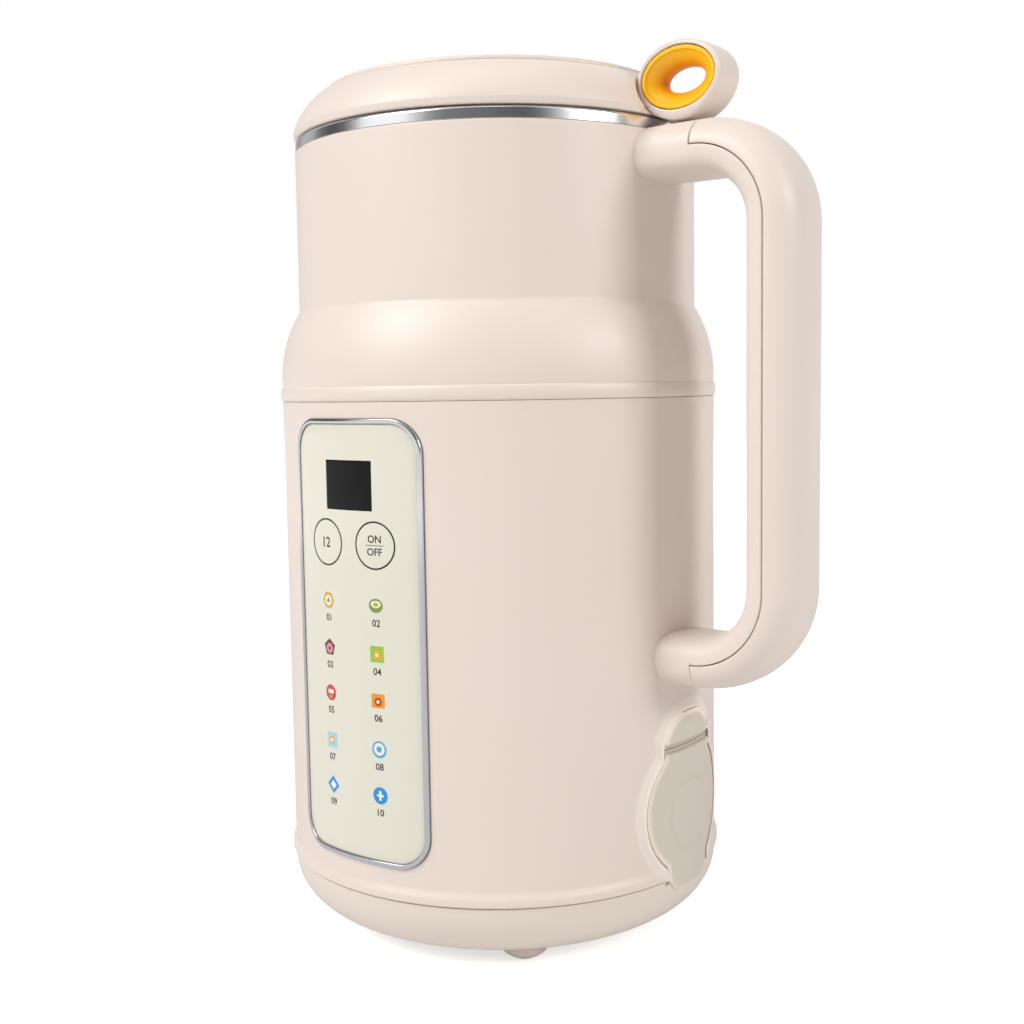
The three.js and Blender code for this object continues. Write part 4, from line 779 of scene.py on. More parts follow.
def lid_profile():
    """Outside and inside of the shell: a rounded lower edge, the belly, and the flat top."""
    dome = superellipse_line((BELLY_RADIUS, BELLY_HEIGHT), (LID_FLAT, LID_TOP), LID_POWER, 70)
    rim = rounded([(LIP_RADIUS - LID_WALL, LID_BOTTOM, 0), (LIP_RADIUS, LID_BOTTOM, 0.45),
                   (BELLY_RADIUS, BELLY_HEIGHT, 0)], steps=5)
    inside = superellipse_line(
        (BELLY_RADIUS - LID_WALL, BELLY_HEIGHT), (LID_FLAT - 2, LID_TOP - 2), LID_POWER, 30)[::-1]
    outside = np.vstack([rim, dome[1:], [[LID_FLAT * 0.5, LID_TOP], [0, LID_TOP]]])
    return outside, np.vstack([[[0, LID_TOP - 2]], inside])


def lid_mesh():
    """The profile goes round the axis, with closer columns near the loop. There the dome steps back
    to the loop's oval, reach - wide * sqrt(1 - (up / high) ** 2), and slants out past its sides."""
    outside, inside = lid_profile()
    near = np.linspace(-0.28, 0.28, 113)
    angle = np.concatenate([near, np.linspace(0.28, TURN - 0.28, 200)[1:-1]])
    radius, height = np.vstack([outside, inside]).T
    wall = np.where(np.arange(len(radius)) < len(outside), 0.0, 1.7)[:, None]
    x, y = radius[:, None] * np.cos(angle), radius[:, None] * np.sin(angle)
    up = height[:, None] - LOOP_HEIGHT
    high = INSERT_HIGH + LOOP_WALL + np.where(up < 0, LOOP_SEAT, 0.0)
    side = np.sqrt(np.clip(1 - (up / high) ** 2, 0, 1))
    oval_side = LOOP_REACH - (INSERT_WIDE + LOOP_WALL) * side
    limit = oval_side - NOTCH_GAP + NOTCH_SLANT * np.maximum(np.abs(y) - NOTCH_HALF, 0) - wall
    x = AXIS_X + np.minimum(x, limit)
    return surface(np.stack(np.broadcast_arrays(x, y, height[:, None]), -1), wrap_rows=True)


piece("lid_dome", lid_mesh(), "lid", "cream_plastic", cream_plastic, "lid_shell")

crown_profile = rounded([
    (0, LID_TOP + CROWN_GAP, 0), (CROWN_RADIUS, LID_TOP + CROWN_GAP, 0.1), (CROWN_RADIUS, CROWN_TOP, 0.8),
    (0, CROWN_TOP, 0),
], steps=8)
crown_profile = np.vstack([crown_profile[:-1], [[32, CROWN_TOP], [16, CROWN_TOP]], crown_profile[-1:]])
piece("lid_cap", turned(crown_profile), "lid", "base_plastic", cream_plastic, "lid_crown")

# %% [markdown]
# Under the lid a liner closes the cup. A groove stiffens its floor, three screws hold it, and a soft
# ring round its plug wipes the cup's wall.

# %% Liner, seal and screws of the lid
PLUG_RADIUS, LINER_FLOOR, LINER_WALL, LINER_FLANGE = 46.4, LID_BOTTOM - 9, 1.8, 52.0
GROOVE, GROOVE_RISE, LID_SCREW_OFFSET = (33.5, 40.6), 0.6, 27.8
groove_top, flange_low = LINER_FLOOR + GROOVE_RISE, LIP_TOP + 0.3
flange_top, plug_inside = LID_BOTTOM + LINER_WALL, PLUG_RADIUS - LINER_WALL
liner_profile = rounded([
    (0, LINER_FLOOR, 0), (GROOVE[0], LINER_FLOOR, 0.5), (GROOVE[0] + 0.6, groove_top, 0.4),
    (GROOVE[1] - 0.6, groove_top, 0.4), (GROOVE[1], LINER_FLOOR, 0.5), (PLUG_RADIUS, LINER_FLOOR, 1.8),
    (PLUG_RADIUS, flange_low, 0.3), (LINER_FLANGE, flange_low, 0.2), (LINER_FLANGE, flange_top, 0.2),
    (plug_inside, flange_top, 0.3), (plug_inside, LINER_FLOOR + LINER_WALL, 0.3),
    (0, LINER_FLOOR + LINER_WALL, 0),
])
liner = turned(liner_profile, closed=False)
piece("lid_liner_plug", liner, "lid", "cream_plastic", cream_plastic, "lid_liner")
# The section of the seal: radius, distance under the cup's lip, and rounding.
seal_profile = rounded([(radius, LIP_TOP - under, edge) for radius, under, edge in (
    (46.7, 4, 0.2), (47.5, 4, 0.3), (49.1, 2.3, 0.35), (49.1, 1.2, 0.35), (48.0, 1.0, 0.2), (47.5, 0, 0.25),
    (46.7, 0, 0.2))], closed=True)
piece("lid_seal_ring", turned(seal_profile), "lid", "seal_silicone", clear_silicone, "lid_seal")
for number, a in enumerate(THIRDS, 1):
    x, y = AXIS_X + LID_SCREW_OFFSET * math.cos(a), LID_SCREW_OFFSET * math.sin(a)
    screw_head(f"lid_screw_head_{number}", x, y, LINER_FLOOR - 0.3, f"lid_screw_{number}", "lid")

# %% [markdown]
# The cutter at the bottom of the cup is a pressed steel star. Two of its wings are bent up and two
# down, and their edges are ground thin. A soft seal, a spacer and a cap nut go with it.

# %% Cutter in the cup
BLADE_HEIGHT, BLADE_THICK, BLADE_HUB, BLADE_HOLE = 99.0, 1.6, 7.5, 4.3
BLADE_SOFTNESS, GROUND_WIDE, GROUND_DEEP = 14, 2.0, 1.25
WING_SIDES = [((0, 1), 4.0), ((0, -1), 4.0), ((0.640, -0.768), 15.365), ((0.941, 0.339), 22.58)]
WING_SLOPES = [math.tan(math.radians(degrees)) for degrees in (16, -10, 16, -10)]


def blade_mesh():
    """Seen from above, a wing is where four straight sides all hold: the reach along a ray is the
    least of distance / (side . ray). The outline is a soft maximum of the hub and the wings. A wing
    is bent along its own length, height = slope * (length - hub), and its edge is ground over 2 mm."""
    angle = np.linspace(0, TURN, 720, endpoint=False)
    outline, own = np.full_like(angle, BLADE_HUB), np.zeros_like(angle)
    slope = np.zeros_like(angle)
    for wing, wing_slope in enumerate(WING_SLOPES):
        off = (angle - wing * math.pi / 2 + math.pi) % TURN - math.pi
        ray = np.stack([np.cos(off), np.sin(off)])
        reach = np.full_like(angle, 99.0)
        for side, distance in WING_SIDES:
            towards = side[0] * ray[0] + side[1] * ray[1]
            reach = np.minimum(reach, np.where(towards > 0.01, distance / np.maximum(towards, 0.01), 99.0))
        mine = np.abs(off) < math.pi / 4
        soft = (reach ** BLADE_SOFTNESS + BLADE_HUB ** BLADE_SOFTNESS) ** (1 / BLADE_SOFTNESS)
        outline = np.where(mine, soft, outline)
        own = np.where(mine, np.cos(off), own)
        slope = np.where(mine, wing_slope, slope)
    share = 1 - (1 - np.linspace(0, 1, 34)[:, None]) ** 1.6
    radius = BLADE_HOLE + (outline - BLADE_HOLE) * share
    bend = slope * np.maximum(radius * own - BLADE_HUB, 0)
    ground = (1 - np.clip((outline - radius) / GROUND_WIDE, 0, 1)) * smooth(radius * own, 8.5, 11)
    top = rings(radius, angle, BLADE_HEIGHT + BLADE_THICK / 2 - GROUND_DEEP * ground + bend)
    low = rings(radius, angle, BLADE_HEIGHT - BLADE_THICK / 2 + bend)
    return surface(np.concatenate([top, low[::-1]]), wrap_rows=True)


def cap_nut_mesh():
    """A hexagon that passes into a dome: the corner factor cos(30) / cos(a mod 60 - 30) fades to 1.
    Each row is a radius, a height and the share of that factor."""
    angle = np.linspace(0, TURN, 192, endpoint=False)
    corner = math.cos(math.pi / 6) / np.cos((angle % (math.pi / 3)) - math.pi / 6)
    rows = [(4.05, 100.9, 0), (5.6, 100.9, 0), (6.1, 100.95, 0.6), (6.5, 101.3, 1), (6.5, 104.0, 1),
            (6.35, 104.5, 0.8), (5.9, 104.9, 0.2), (5.3, 105.0, 0)]
    rows += [(5.2 * math.cos(a), 105.05 + 2.85 * math.sin(a), 0) for a in np.linspace(0, math.pi / 2, 14)]
    rows += [(0, 106.5, 0), (4.05, 106.0, 0)]
    radius, height, share = np.array(rows).T[:, :, None]
    return surface(rings(radius * (1 + (corner - 1) * share), angle, height), wrap_rows=True)


piece("cutter_star", blade_mesh(), "drive", "steel", steel_bright, "blade")
piece("cap_nut", cap_nut_mesh(), "drive", "steel", steel_bright, "blade_nut")
spacer = rounded([(BLADE_HOLE, 96.1, 0.2), (BLADE_HUB, 96.1, 0.3), (BLADE_HUB, 98.1, 0.3),
                  (BLADE_HOLE, 98.1, 0.2)], closed=True)
piece("spacer_ring", turned(spacer, sides=96), "drive", "steel", steel_bright, "blade_spacer")
seal = rounded([(4.3, 89, 0.2), (9.25, 89, 0.3), (9.25, 93.3, 0.2), (12.25, 93.3, 0.4), (12.25, 94.2, 0.5),
                (8.6, 95.3, 0.8), (5.4, 95.6, 0.3), (4.3, 95.4, 0.2)], closed=True)
piece("shaft_seal_boot", turned(seal, sides=96), "body", "seal_silicone", clear_silicone, "shaft_seal")

# %% [markdown]
# The oval loop stands on the lid's edge in the plane of the handle, so a fingertip can lift the
# lid. It is a ring of cream plastic round a golden insert whose mouth narrows to a waist.

# %% Loop and insert
def oval(half_wide, half_high, depth, seat=0.0, steps=120):
    """Each profile entry is an oval of those half axes at that depth, x = a * cos(u) and
    z = b * sin(u), tipped by the loop's tilt. Its lower half may reach down by a seat more."""
    u = np.linspace(0, TURN, steps, endpoint=False)
    x = np.asarray(half_wide)[:, None] * np.cos(u)
    z = np.asarray(half_high)[:, None] * np.sin(u)
    z = z - np.broadcast_to(seat, len(z))[:, None] * np.maximum(-np.sin(u), 0) ** 1.5
    c, s = math.cos(LOOP_TILT), math.sin(LOOP_TILT)
    y = np.broadcast_to(np.asarray(depth)[:, None], x.shape)
    points = np.stack([AXIS_X + LOOP_REACH + x * c - z * s, y, LOOP_HEIGHT + x * s + z * c], -1)
    return surface(points, wrap_rows=True)


def block(low, high, edge):
    """A box between two corners, with its edges rounded."""
    low, high = Vector(low) * MM, Vector(high) * MM
    place = Matrix.Translation((low + high) / 2) @ Matrix.Diagonal((*(high - low), 1))
    work = bmesh.new()
    bmesh.ops.create_cube(work, size=1, matrix=place)
    bmesh.ops.bevel(work, geom=work.edges[:], offset=edge * MM, segments=3, profile=0.5, affect="EDGES")
    mesh = bpy.data.meshes.new("block")
    work.to_mesh(mesh)
    work.free()
    mesh.shade_smooth()
    return mesh


half_depth = LOOP_DEPTH / 2
ring_profile = rounded([
    (0.05, -half_depth, 0.25), (LOOP_WALL, -half_depth, 0.95), (LOOP_WALL + 0.12, 0, 12),
    (LOOP_WALL, half_depth, 0.95), (0.05, half_depth, 0.25),
], closed=True, steps=7)
seat_share = LOOP_SEAT * np.clip(ring_profile[:, 0] / LOOP_WALL, 0, 1)
wider, depth = ring_profile.T
loop_ring = oval(INSERT_WIDE + wider, INSERT_HIGH + wider, depth, seat_share)
piece("loop_on_lid", loop_ring, "lid", "cream_plastic", cream_plastic, "lid_loop")

MOUTH_INSET, THROAT_POWER = 1.3, 2.5
throat = half_depth - 0.45
t = np.linspace(-1, 1, 41)
open_share = np.abs(t) ** THROAT_POWER
throat_wide = WAIST_WIDE + (INSERT_WIDE - MOUTH_INSET - WAIST_WIDE) * open_share
throat_high = WAIST_HIGH + (INSERT_HIGH - MOUTH_INSET - WAIST_HIGH) * open_share
edge = rounded([(-0.16, 0, 0), (-0.16, -throat, 0.15), (-0.35, -throat - 0.18, 0.2),
                (-1.15, -throat - 0.18, 0.15), (-MOUTH_INSET, -throat + 0.25, 0)], steps=5)
insert_wide = np.concatenate([INSERT_WIDE + edge[:, 0], throat_wide, INSERT_WIDE + edge[::-1, 0]])
insert_high = np.concatenate([INSERT_HIGH + edge[:, 0], throat_high, INSERT_HIGH + edge[::-1, 0]])
insert_depth = np.concatenate([edge[:, 1], t * (throat - 0.25), -edge[::-1, 1]])
insert = oval(insert_wide, insert_high, insert_depth)
piece("loop_golden_insert", insert, "lid", "golden_insert", golden, "loop_insert")

# %% [markdown]
# The handle is a tube with a rounded section that leaves the neck level, turns down and comes back
# to the housing. It is moulded in two halves: the inner one carries the blocks at the body, and the
# outer one caps it. Both are carried along the same path, with the parting face between them.

# %% Path and section of the handle
GRIP_REACH, UPPER_ARM, LOWER_ARM = 88.8, 204.5, 77.8
UPPER_BEND, LOWER_BEND = 18.9, 19.6
GRIP_OUTER, GRIP_INNER, GRIP_HALF_WIDE = 7.4, 6.4, 11.5
OUTER_POWER, INNER_POWER = 2.35, 3.0
PARTING_REACH, PARTING_OFFSET, PARTING_GAP, EDGE_ROUND = 69.2, 0.2, 0.13, 0.3
BLOCK_START = 50


def handle_path(starts):
    """Places and outward directions along the middle of the tube: an arm, a quarter arc, the grip,
    a quarter arc and an arm. The arms have a row at each of the given starts."""
    bend = np.linspace(0, math.pi / 2, 31)
    upper = np.array([[x, UPPER_ARM, 0, 1] for x in starts])
    lower = np.array([[x, LOWER_ARM, 0, -1] for x in starts[::-1]])
    first = np.stack([
        GRIP_REACH - UPPER_BEND * (1 - np.sin(bend)), UPPER_ARM - UPPER_BEND * (1 - np.cos(bend)),
        np.sin(bend), np.cos(bend)], -1)
    heights = np.linspace(UPPER_ARM - UPPER_BEND, LOWER_ARM + LOWER_BEND, 42)[1:-1]
    grip = np.stack([0 * heights + GRIP_REACH, heights, 0 * heights + 1, 0 * heights], -1)
    second = np.stack([
        GRIP_REACH - LOWER_BEND * (1 - np.cos(bend)), LOWER_ARM + LOWER_BEND * (1 - np.sin(bend)),
        np.cos(bend), -np.sin(bend)], -1)
    return np.vstack([upper, first, grip, second, lower])


def half_oval(depth, power, start, steps=57):
    """Half a superellipse on one side of the middle line, from one edge to the other: out is
    depth * cos(t) ** (2 / power) and across is half width * sin(t) ** (2 / power). It starts
    where out reaches the given height over the middle line."""
    low = math.acos((start / depth) ** (power / 2)) if start > 0 else math.pi / 2
    t = np.linspace(-low, low, steps)
    out = depth * np.abs(np.cos(t)) ** (2 / power)
    across = GRIP_HALF_WIDE * np.sign(np.sin(t)) * np.abs(np.sin(t)) ** (2 / power)
    return np.stack([out, across], -1)


def carried(path, out, across):
    """Section places (out, across) on each place of the path, which lies in the plane y = 0."""
    x = AXIS_X + path[:, 0, None] + path[:, 2, None] * out
    z = path[:, 1, None] + path[:, 3, None] * out
    return np.stack([x, np.broadcast_to(across, x.shape), z], -1)


turn_in = np.linspace(0, math.pi / 2, 6)
round_rise = EDGE_ROUND * (1 - np.sin(turn_in))
round_in = EDGE_ROUND * (1 - np.cos(turn_in))


def parting_face(level, away, half, count):
    """A level face across the section from +half to -half, whose edges are small quarter rounds
    that bend away from the level (+1 or -1)."""
    right = np.stack([level + away * round_rise, half - round_in], -1)
    left = right[::-1] * [1, -1]
    face = np.linspace(right[-1, 1], left[0, 1], count)[1:-1]
    return np.vstack([right, np.stack([0 * face + level, face], -1), left])


print("the grip is", GRIP_OUTER + GRIP_INNER, "mm deep and", 2 * GRIP_HALF_WIDE, "mm wide")

# %% [markdown]
# The outer half is the cap of the tube. Its section is closed by the parting face, and its two ends
# shrink to a point behind the parting step, where the inner half's blocks begin.

# %% Outer half of the handle
END_SHRINK = 9.0


def outer_half():
    """The outer side of the section, closed by the parting face, whose two edges are rounded. At
    both ends the section shrinks to its middle along a small quarter round."""
    level = PARTING_OFFSET + PARTING_GAP
    crest = half_oval(GRIP_OUTER, OUTER_POWER, level + EDGE_ROUND)
    section = np.vstack([crest, parting_face(level, 1, crest[-1, 1], 12)[1:-1]])
    shrink = np.concatenate([[END_SHRINK], round_in[::-1]])
    begin = PARTING_REACH + PARTING_GAP
    starts = begin + np.concatenate([[0.0], round_rise[::-1]])
    path = handle_path(starts)
    inset = np.zeros(len(path))
    inset[:len(shrink)] = shrink
    inset[-len(shrink):] = shrink[::-1]
    centre = np.array([level + GRIP_OUTER * 0.45, 0])
    arm = section - centre
    length = np.linalg.norm(arm, axis=1)
    share = np.clip(1 - inset[:, None] / length, 0, 1)
    return surface(carried(path, centre[0] + arm[:, 0] * share, arm[:, 1] * share))


piece("handle_cap", outer_half(), "body", "cream_plastic", cream_plastic, "handle_outer")

# %% [markdown]
# The inner half carries the blocks that meet the body. Along the grip it lies under the cap, so there
# it ends at the parting face.

# %% Inner half of the handle
def inner_half():
    """In the blocks at both ends the whole section is there. Past the parting step, the columns of
    the outer side lie down on the parting face instead. The step's edge is a small quarter round."""
    level = PARTING_OFFSET - PARTING_GAP
    inner = half_oval(GRIP_INNER, INNER_POWER, EDGE_ROUND - level)
    inner[:, 0] *= -1
    crest = half_oval(GRIP_OUTER, OUTER_POWER, 0.0)[::-1]
    whole = np.vstack([inner, crest[1:-1]])
    count = len(crest) - 2
    outer_side = np.arange(len(whole)) >= len(inner)
    edge = inner[-1, 1]
    low = parting_face(level, -1, edge, count - 2 * len(round_in) + 2)
    cut = whole.copy()
    cut[outer_side] = low
    step = PARTING_REACH - PARTING_GAP
    blocks = np.linspace(BLOCK_START, step - 1.5, 12)
    starts = np.concatenate([blocks, step - round_rise, [step, PARTING_REACH + 0.4]])
    path = handle_path(starts)
    rows, full = len(path), len(blocks) + len(turn_in)
    inset = np.zeros(rows)
    inset[len(blocks):full] = round_in
    inset[-full:-len(blocks)] = round_in[::-1]
    is_whole = np.zeros(rows, bool)
    is_whole[:full] = True
    is_whole[-full:] = True
    length = np.linalg.norm(whole, axis=1)
    share = 1 - np.where(outer_side, inset[:, None] / length, 0)
    out = np.where(is_whole[:, None], whole[:, 0] * share, cut[:, 0])
    across = np.where(is_whole[:, None], whole[:, 1] * share, cut[:, 1])
    points = carried(path, out, across)
    ends = [np.repeat(row.mean(0)[None, None], points.shape[1], 1) for row in (points[0], points[-1])]
    return surface(np.concatenate([ends[0], points, ends[1]]))


piece("handle_frame", inner_half(), "body", "cream_plastic", cream_plastic, "handle_inner")

# %% [markdown]
# The machine stands on four soft feet like low buttons. Each has a small flat face, and its side
# flares out until it meets the curve of the base.

# %% Feet
FOOT_OFFSET, FOOT_TOP, FOOT_GAP = 31.3, 9, 0.03
FOOT_SIDE = rounded([(0, 0, 0), (2.0, 0, 1.2), (4.2, 1.1, 2.5), (5.5, 2.0, 1.5), (6.15, 2.9, 0.5),
                     (6.15, FOOT_TOP, 0)], steps=4)


def base_height(radius):
    """Height of the base's underside at a distance from the axis, from its superellipse."""
    share = np.clip((radius - BASE_FLAT) / (BASE_RIM - BASE_FLAT), 0, 1)
    return BASE_TOP - (BASE_TOP - BASE_UNDER) * (1 - share ** BASE_POWER) ** (1 / BASE_POWER)


def foot_mesh(x, y):
    """Rings from the small flat face up the flared side, kept below the base's curve, and back
    along that curve to the middle."""
    turn = np.linspace(0, TURN, 72, endpoint=False)
    side = np.vstack([FOOT_SIDE, [[r, FOOT_TOP] for r in (4.6, 3.0, 1.5, 0)]])
    places = rings(side[:, :1], turn, side[:, 1:], x, y)
    roof = base_height(np.hypot(places[..., 0], places[..., 1])) - FOOT_GAP
    places[..., 2] = np.minimum(places[..., 2], roof)
    return surface(places + np.array([AXIS_X, 0, 0]))


for side_y, end in ((-1, "front"), (1, "rear")):
    for side_x, hand in ((-1, "left"), (1, "right")):
        mesh, place = foot_mesh(side_x * FOOT_OFFSET, side_y * FOOT_OFFSET), f"{end}_{hand}"
        piece("soft_foot_" + place, mesh, "body", "foot_rubber", foot_rubber, "foot_" + place)

# %% [markdown]
# The control panel is a clear-coated film in a chrome frame. Both follow the drum's curve. Its
# outline is a rounded rectangle, kept as a list of points that can be moved inwards.

# %% Control panel
PANEL_HALF, PANEL_LOW, PANEL_HIGH, PANEL_CORNER = 21.8, 27.5, 140.0, 8.5
PANEL_RADIUS, TRIM_WIDTH, TRIM_RISE = 60.35, 1.2, 0.5
DISPLAY_HALF_WIDE, DISPLAY_HALF_HIGH, DISPLAY_MIDDLE, DISPLAY_CORNER = 7.95, 6.25, 123.5, 0.25


def rectangle_line(half_wide, low, high, corner, inset=0.0, spacing=1.5):
    """Points round a rectangle with round corners, moved inwards by inset. The same number of
    points lies on each side whatever the inset, so that rings match."""
    r = max(corner - inset, 0.05)
    t = np.linspace(0, math.pi / 2, 13)
    wide, tall = half_wide - inset, (high - low) / 2 - inset
    counts = [max(int(length / spacing), 2) for length in (high - low, 2 * half_wide)]
    arcs = []
    for side_x, side_z, start in ((1, -1, -0.5), (1, 1, 0), (-1, 1, 0.5), (-1, -1, 1)):
        centre = np.array([side_x * (wide - r), (high + low) / 2 + side_z * (tall - r)])
        angle = start * math.pi + t
        arcs.append(centre + r * np.stack([np.cos(angle), np.sin(angle)], -1))
    parts = []
    for number, arc in enumerate(arcs):
        following = arcs[(number + 1) % 4][0]
        share = np.linspace(0, 1, counts[number % 2] + 2)[1:-1, None]
        parts += [arc, arc[-1] + (following - arc[-1]) * share]
    return np.vstack(parts)


def plate(line_at, steps, middle):
    """A closed plate on the front: its back grows out from the middle, the steps (inset, radius)
    lead round its edge, and its face runs straight in to the middle again."""
    turns = [(*steps[0], share) for share in np.linspace(0, 1, 14)[:-1]]
    turns += [(*step, 1) for step in steps]
    turns += [(*steps[-1], share) for share in np.linspace(1, 0, 26)[1:]]
    lines = [(middle + (line_at(inset) - middle) * share, radius) for inset, radius, share in turns]
    return surface(np.stack([on_front(*line.T, radius) for line, radius in lines]))


def panel_line(inset):
    """The panel's outline, moved inwards."""
    return rectangle_line(PANEL_HALF, PANEL_LOW, PANEL_HIGH, PANEL_CORNER, inset)


def display_line(inset):
    """The display window's outline, moved inwards."""
    low, high = DISPLAY_MIDDLE - DISPLAY_HALF_HIGH, DISPLAY_MIDDLE + DISPLAY_HALF_HIGH
    return rectangle_line(DISPLAY_HALF_WIDE, low, high, DISPLAY_CORNER, inset)


def band(steps):
    """A closed band round the panel, whose section is a list of (inset, radius)."""
    lines = [on_front(*panel_line(inset).T, radius) for inset, radius in steps]
    return surface(np.stack(lines), wrap_rows=True)


trim_top = PANEL_RADIUS + TRIM_RISE
trim_steps = rounded([
    (0, HOUSING_RADIUS - 1, 0), (0, trim_top - 0.05, 0.22), (TRIM_WIDTH / 2, trim_top, 2),
    (TRIM_WIDTH, trim_top - 0.05, 0.22), (TRIM_WIDTH, HOUSING_RADIUS - 1, 0),
])
piece("panel_chrome_frame", band(trim_steps), "body", "chrome", chrome, "panel_trim")
# A thin grey strip between frame and drum is painted shade: it draws the dark line round the frame, where the
# frame's outer edge shows shade and a dark reflection.
shadow_line_paint = moulded("grey_painted_shadow_line", "8A8480", "827C78", 0.6, 0.5, 0.01)
shadow_line_steps = [(inset, HOUSING_RADIUS + rise) for inset, rise in (
    (-0.2, -0.3), (-0.2, 0.06), (-0.15, 0.1), (-0.05, 0.1), (-0.05, -0.3))]
piece("panel_painted_shadow_line", band(shadow_line_steps), "body", "dark_plastic", shadow_line_paint)

face_steps = [(TRIM_WIDTH + inset, PANEL_RADIUS - under) for inset, under in (
    (0.05, 1.1), (0.05, 0.2), (0.12, 0.05), (0.3, 0))]
film = plate(panel_line, face_steps, np.array([0, (PANEL_LOW + PANEL_HIGH) / 2]))
piece("panel_film", film, "body", "panel_plastic", panel_plastic, "panel_face")

display_steps = [(0, PANEL_RADIUS - 1.1), (0, PANEL_RADIUS), (0.06, PANEL_RADIUS + 0.05)]
glass = plate(display_line, display_steps, np.array([0, DISPLAY_MIDDLE]))
piece("display_glass", glass, "body", "display_glass", black_window, "display_window")

# %% [markdown]
# The film is screen printed: two key rings with plain lettering, and ten small pictures of simple
# shapes with a number under each. Every print is a thin closed plate that follows the film, and a
# picture's upper layers lie a hair higher. Prints of one ink are one piece.

# %% Prints on the film
KEY_ACROSS, KEY_HEIGHT, KEY_RADIUS, KEY_LINE = 8.4, 108.8, 6.05, 0.42
PICTURE_HEIGHTS = (93.8, 81.6, 69.8, 57.4, 45.6)
PRINT_UNDER, PRINT_OVER, LAYER_RISE = -0.02, 0.03, 0.02
INKS = {
    "ink_black": "1F1E1C", "ink_gold": "D9A740", "ink_ivory": "F6EFD8", "ink_olive": "82934E",
    "ink_lime": "8FC63D", "ink_orange": "F4A23A", "ink_brown": "5E3B33", "ink_pink": "E48CA6",
    "ink_red": "D93552", "ink_amber": "E9961F", "ink_rust": "B4421C", "ink_ice": "A8D2DD",
    "ink_sky": "45AEE4", "ink_blue": "1F90D6",
}
# Each shape: ink, number of sides (0 for a round) and reach, and then, where they aren't 0, 0, 1
# and 1: turn in degrees, rise, and stretch across and up. Pictures go left and right in turn.
SHAPE_REST = (0, 0, 1, 1)
PICTURES = [
    [("gold", 6, 2.3), ("ivory", 0, 1.35), ("olive", 3, 0.9, 90)],
    [("olive", 0, 2.1, 0, 0, 1, 0.85), ("ivory", 0, 1.5, 0, 0.35, 1, 0.6),
     ("lime", 4, 0.9, 0, 0.3, 1.2, 0.7)],
    [("brown", 5, 2.3, 90), ("pink", 0, 1.3, 0, -0.2), ("brown", 0, 0.45, 0, -0.2)],
    [("lime", 4, 2.9, 45), ("orange", 3, 1.9, 90, -0.25), ("ivory", 0, 0.5, 0, -0.2)],
    [("red", 8, 2.2, 22.5), ("ivory", 4, 1.5, 45, 0.3, 1, 0.5), ("lime", 0, 0.5, 0, -1.0)],
    [("amber", 4, 2.8, 45, 0, 1, 0.9), ("rust", 6, 1.2, 0, -0.2), ("ivory", 0, 0.45, 0, -0.2)],
    [("ice", 4, 2.9, 45), ("orange", 5, 1.2, 90), ("ivory", 0, 0.5)],
    [("sky", 0, 2.2), ("ivory", 0, 1.6, 0, 0.1), ("sky", 6, 0.9, 0, 0.1)],
    [("blue", 4, 2.4), ("ivory", 4, 1.2)],
    [("blue", 0, 2.2), ("ivory", 4, 1.6, 45, 0, 0.3, 1.1), ("ivory", 4, 1.0, 45, 0, 1.4, 0.35)],
]
prints = {ink: [] for ink in INKS}


def shape_line(sides, reach, turn, wide, tall):
    """Points round a regular polygon: r = apothem / cos((a - turn) mod (360 / sides) - 180 / sides)."""
    a = np.linspace(0, TURN, 96, endpoint=False)
    radius = np.full_like(a, reach)
    if sides:
        half = math.pi / sides
        radius = reach * math.cos(half) / np.cos((a - math.radians(turn)) % (2 * half) - half)
    return np.stack([radius * np.cos(a) * wide, radius * np.sin(a) * tall], -1)


def printed(line, across, height, lift):
    """A closed plate: the outline's middle and edge under the film's face, then edge and middle
    above."""
    steps = [(0, PRINT_UNDER), (1, PRINT_UNDER), (1, lift), (0.5, lift), (0, lift)]
    return surface(np.stack([
        on_front(across + line[:, 0] * k, height + line[:, 1] * k, PANEL_RADIUS + r) for k, r in steps]))


def printed_ring(across, height, radius, line):
    """A flat ring, as four circles: outer below, outer above, inner above, inner below."""
    a = np.linspace(0, TURN, 128, endpoint=False)
    steps = [(radius, PRINT_UNDER), (radius, PRINT_OVER), (radius - line, PRINT_OVER),
             (radius - line, PRINT_UNDER)]
    return surface(np.stack([
        on_front(across + r * np.cos(a), height + r * np.sin(a), PANEL_RADIUS + z) for r, z in steps
    ]), wrap_rows=True)


def lettering(text, tall, across, height):
    """Text as a mesh, brought to the given height, centred, and laid on the film's curve."""
    curve = bpy.data.curves.new("lettering", "FONT")
    curve.body, curve.size, curve.extrude, curve.resolution_u, curve.offset = text, 1.0, 0.05, 4, 0.012
    writer = placed("lettering", curve)
    mesh = evaluated(writer)
    bpy.data.objects.remove(writer)
    places = places_of(mesh).astype(float)
    low, high = places.min(0), places.max(0)
    flat = (places[:, :2] - (low + high)[:2] / 2) * tall / (high[1] - low[1])
    lift = np.where(places[:, 2] > 0, PRINT_OVER, PRINT_UNDER)
    laid = on_front(across + flat[:, 0], height + flat[:, 1], PANEL_RADIUS + lift) * MM
    mesh.vertices.foreach_set("co", laid.astype(np.float32).ravel())
    mesh.materials.clear()
    return clean(mesh)


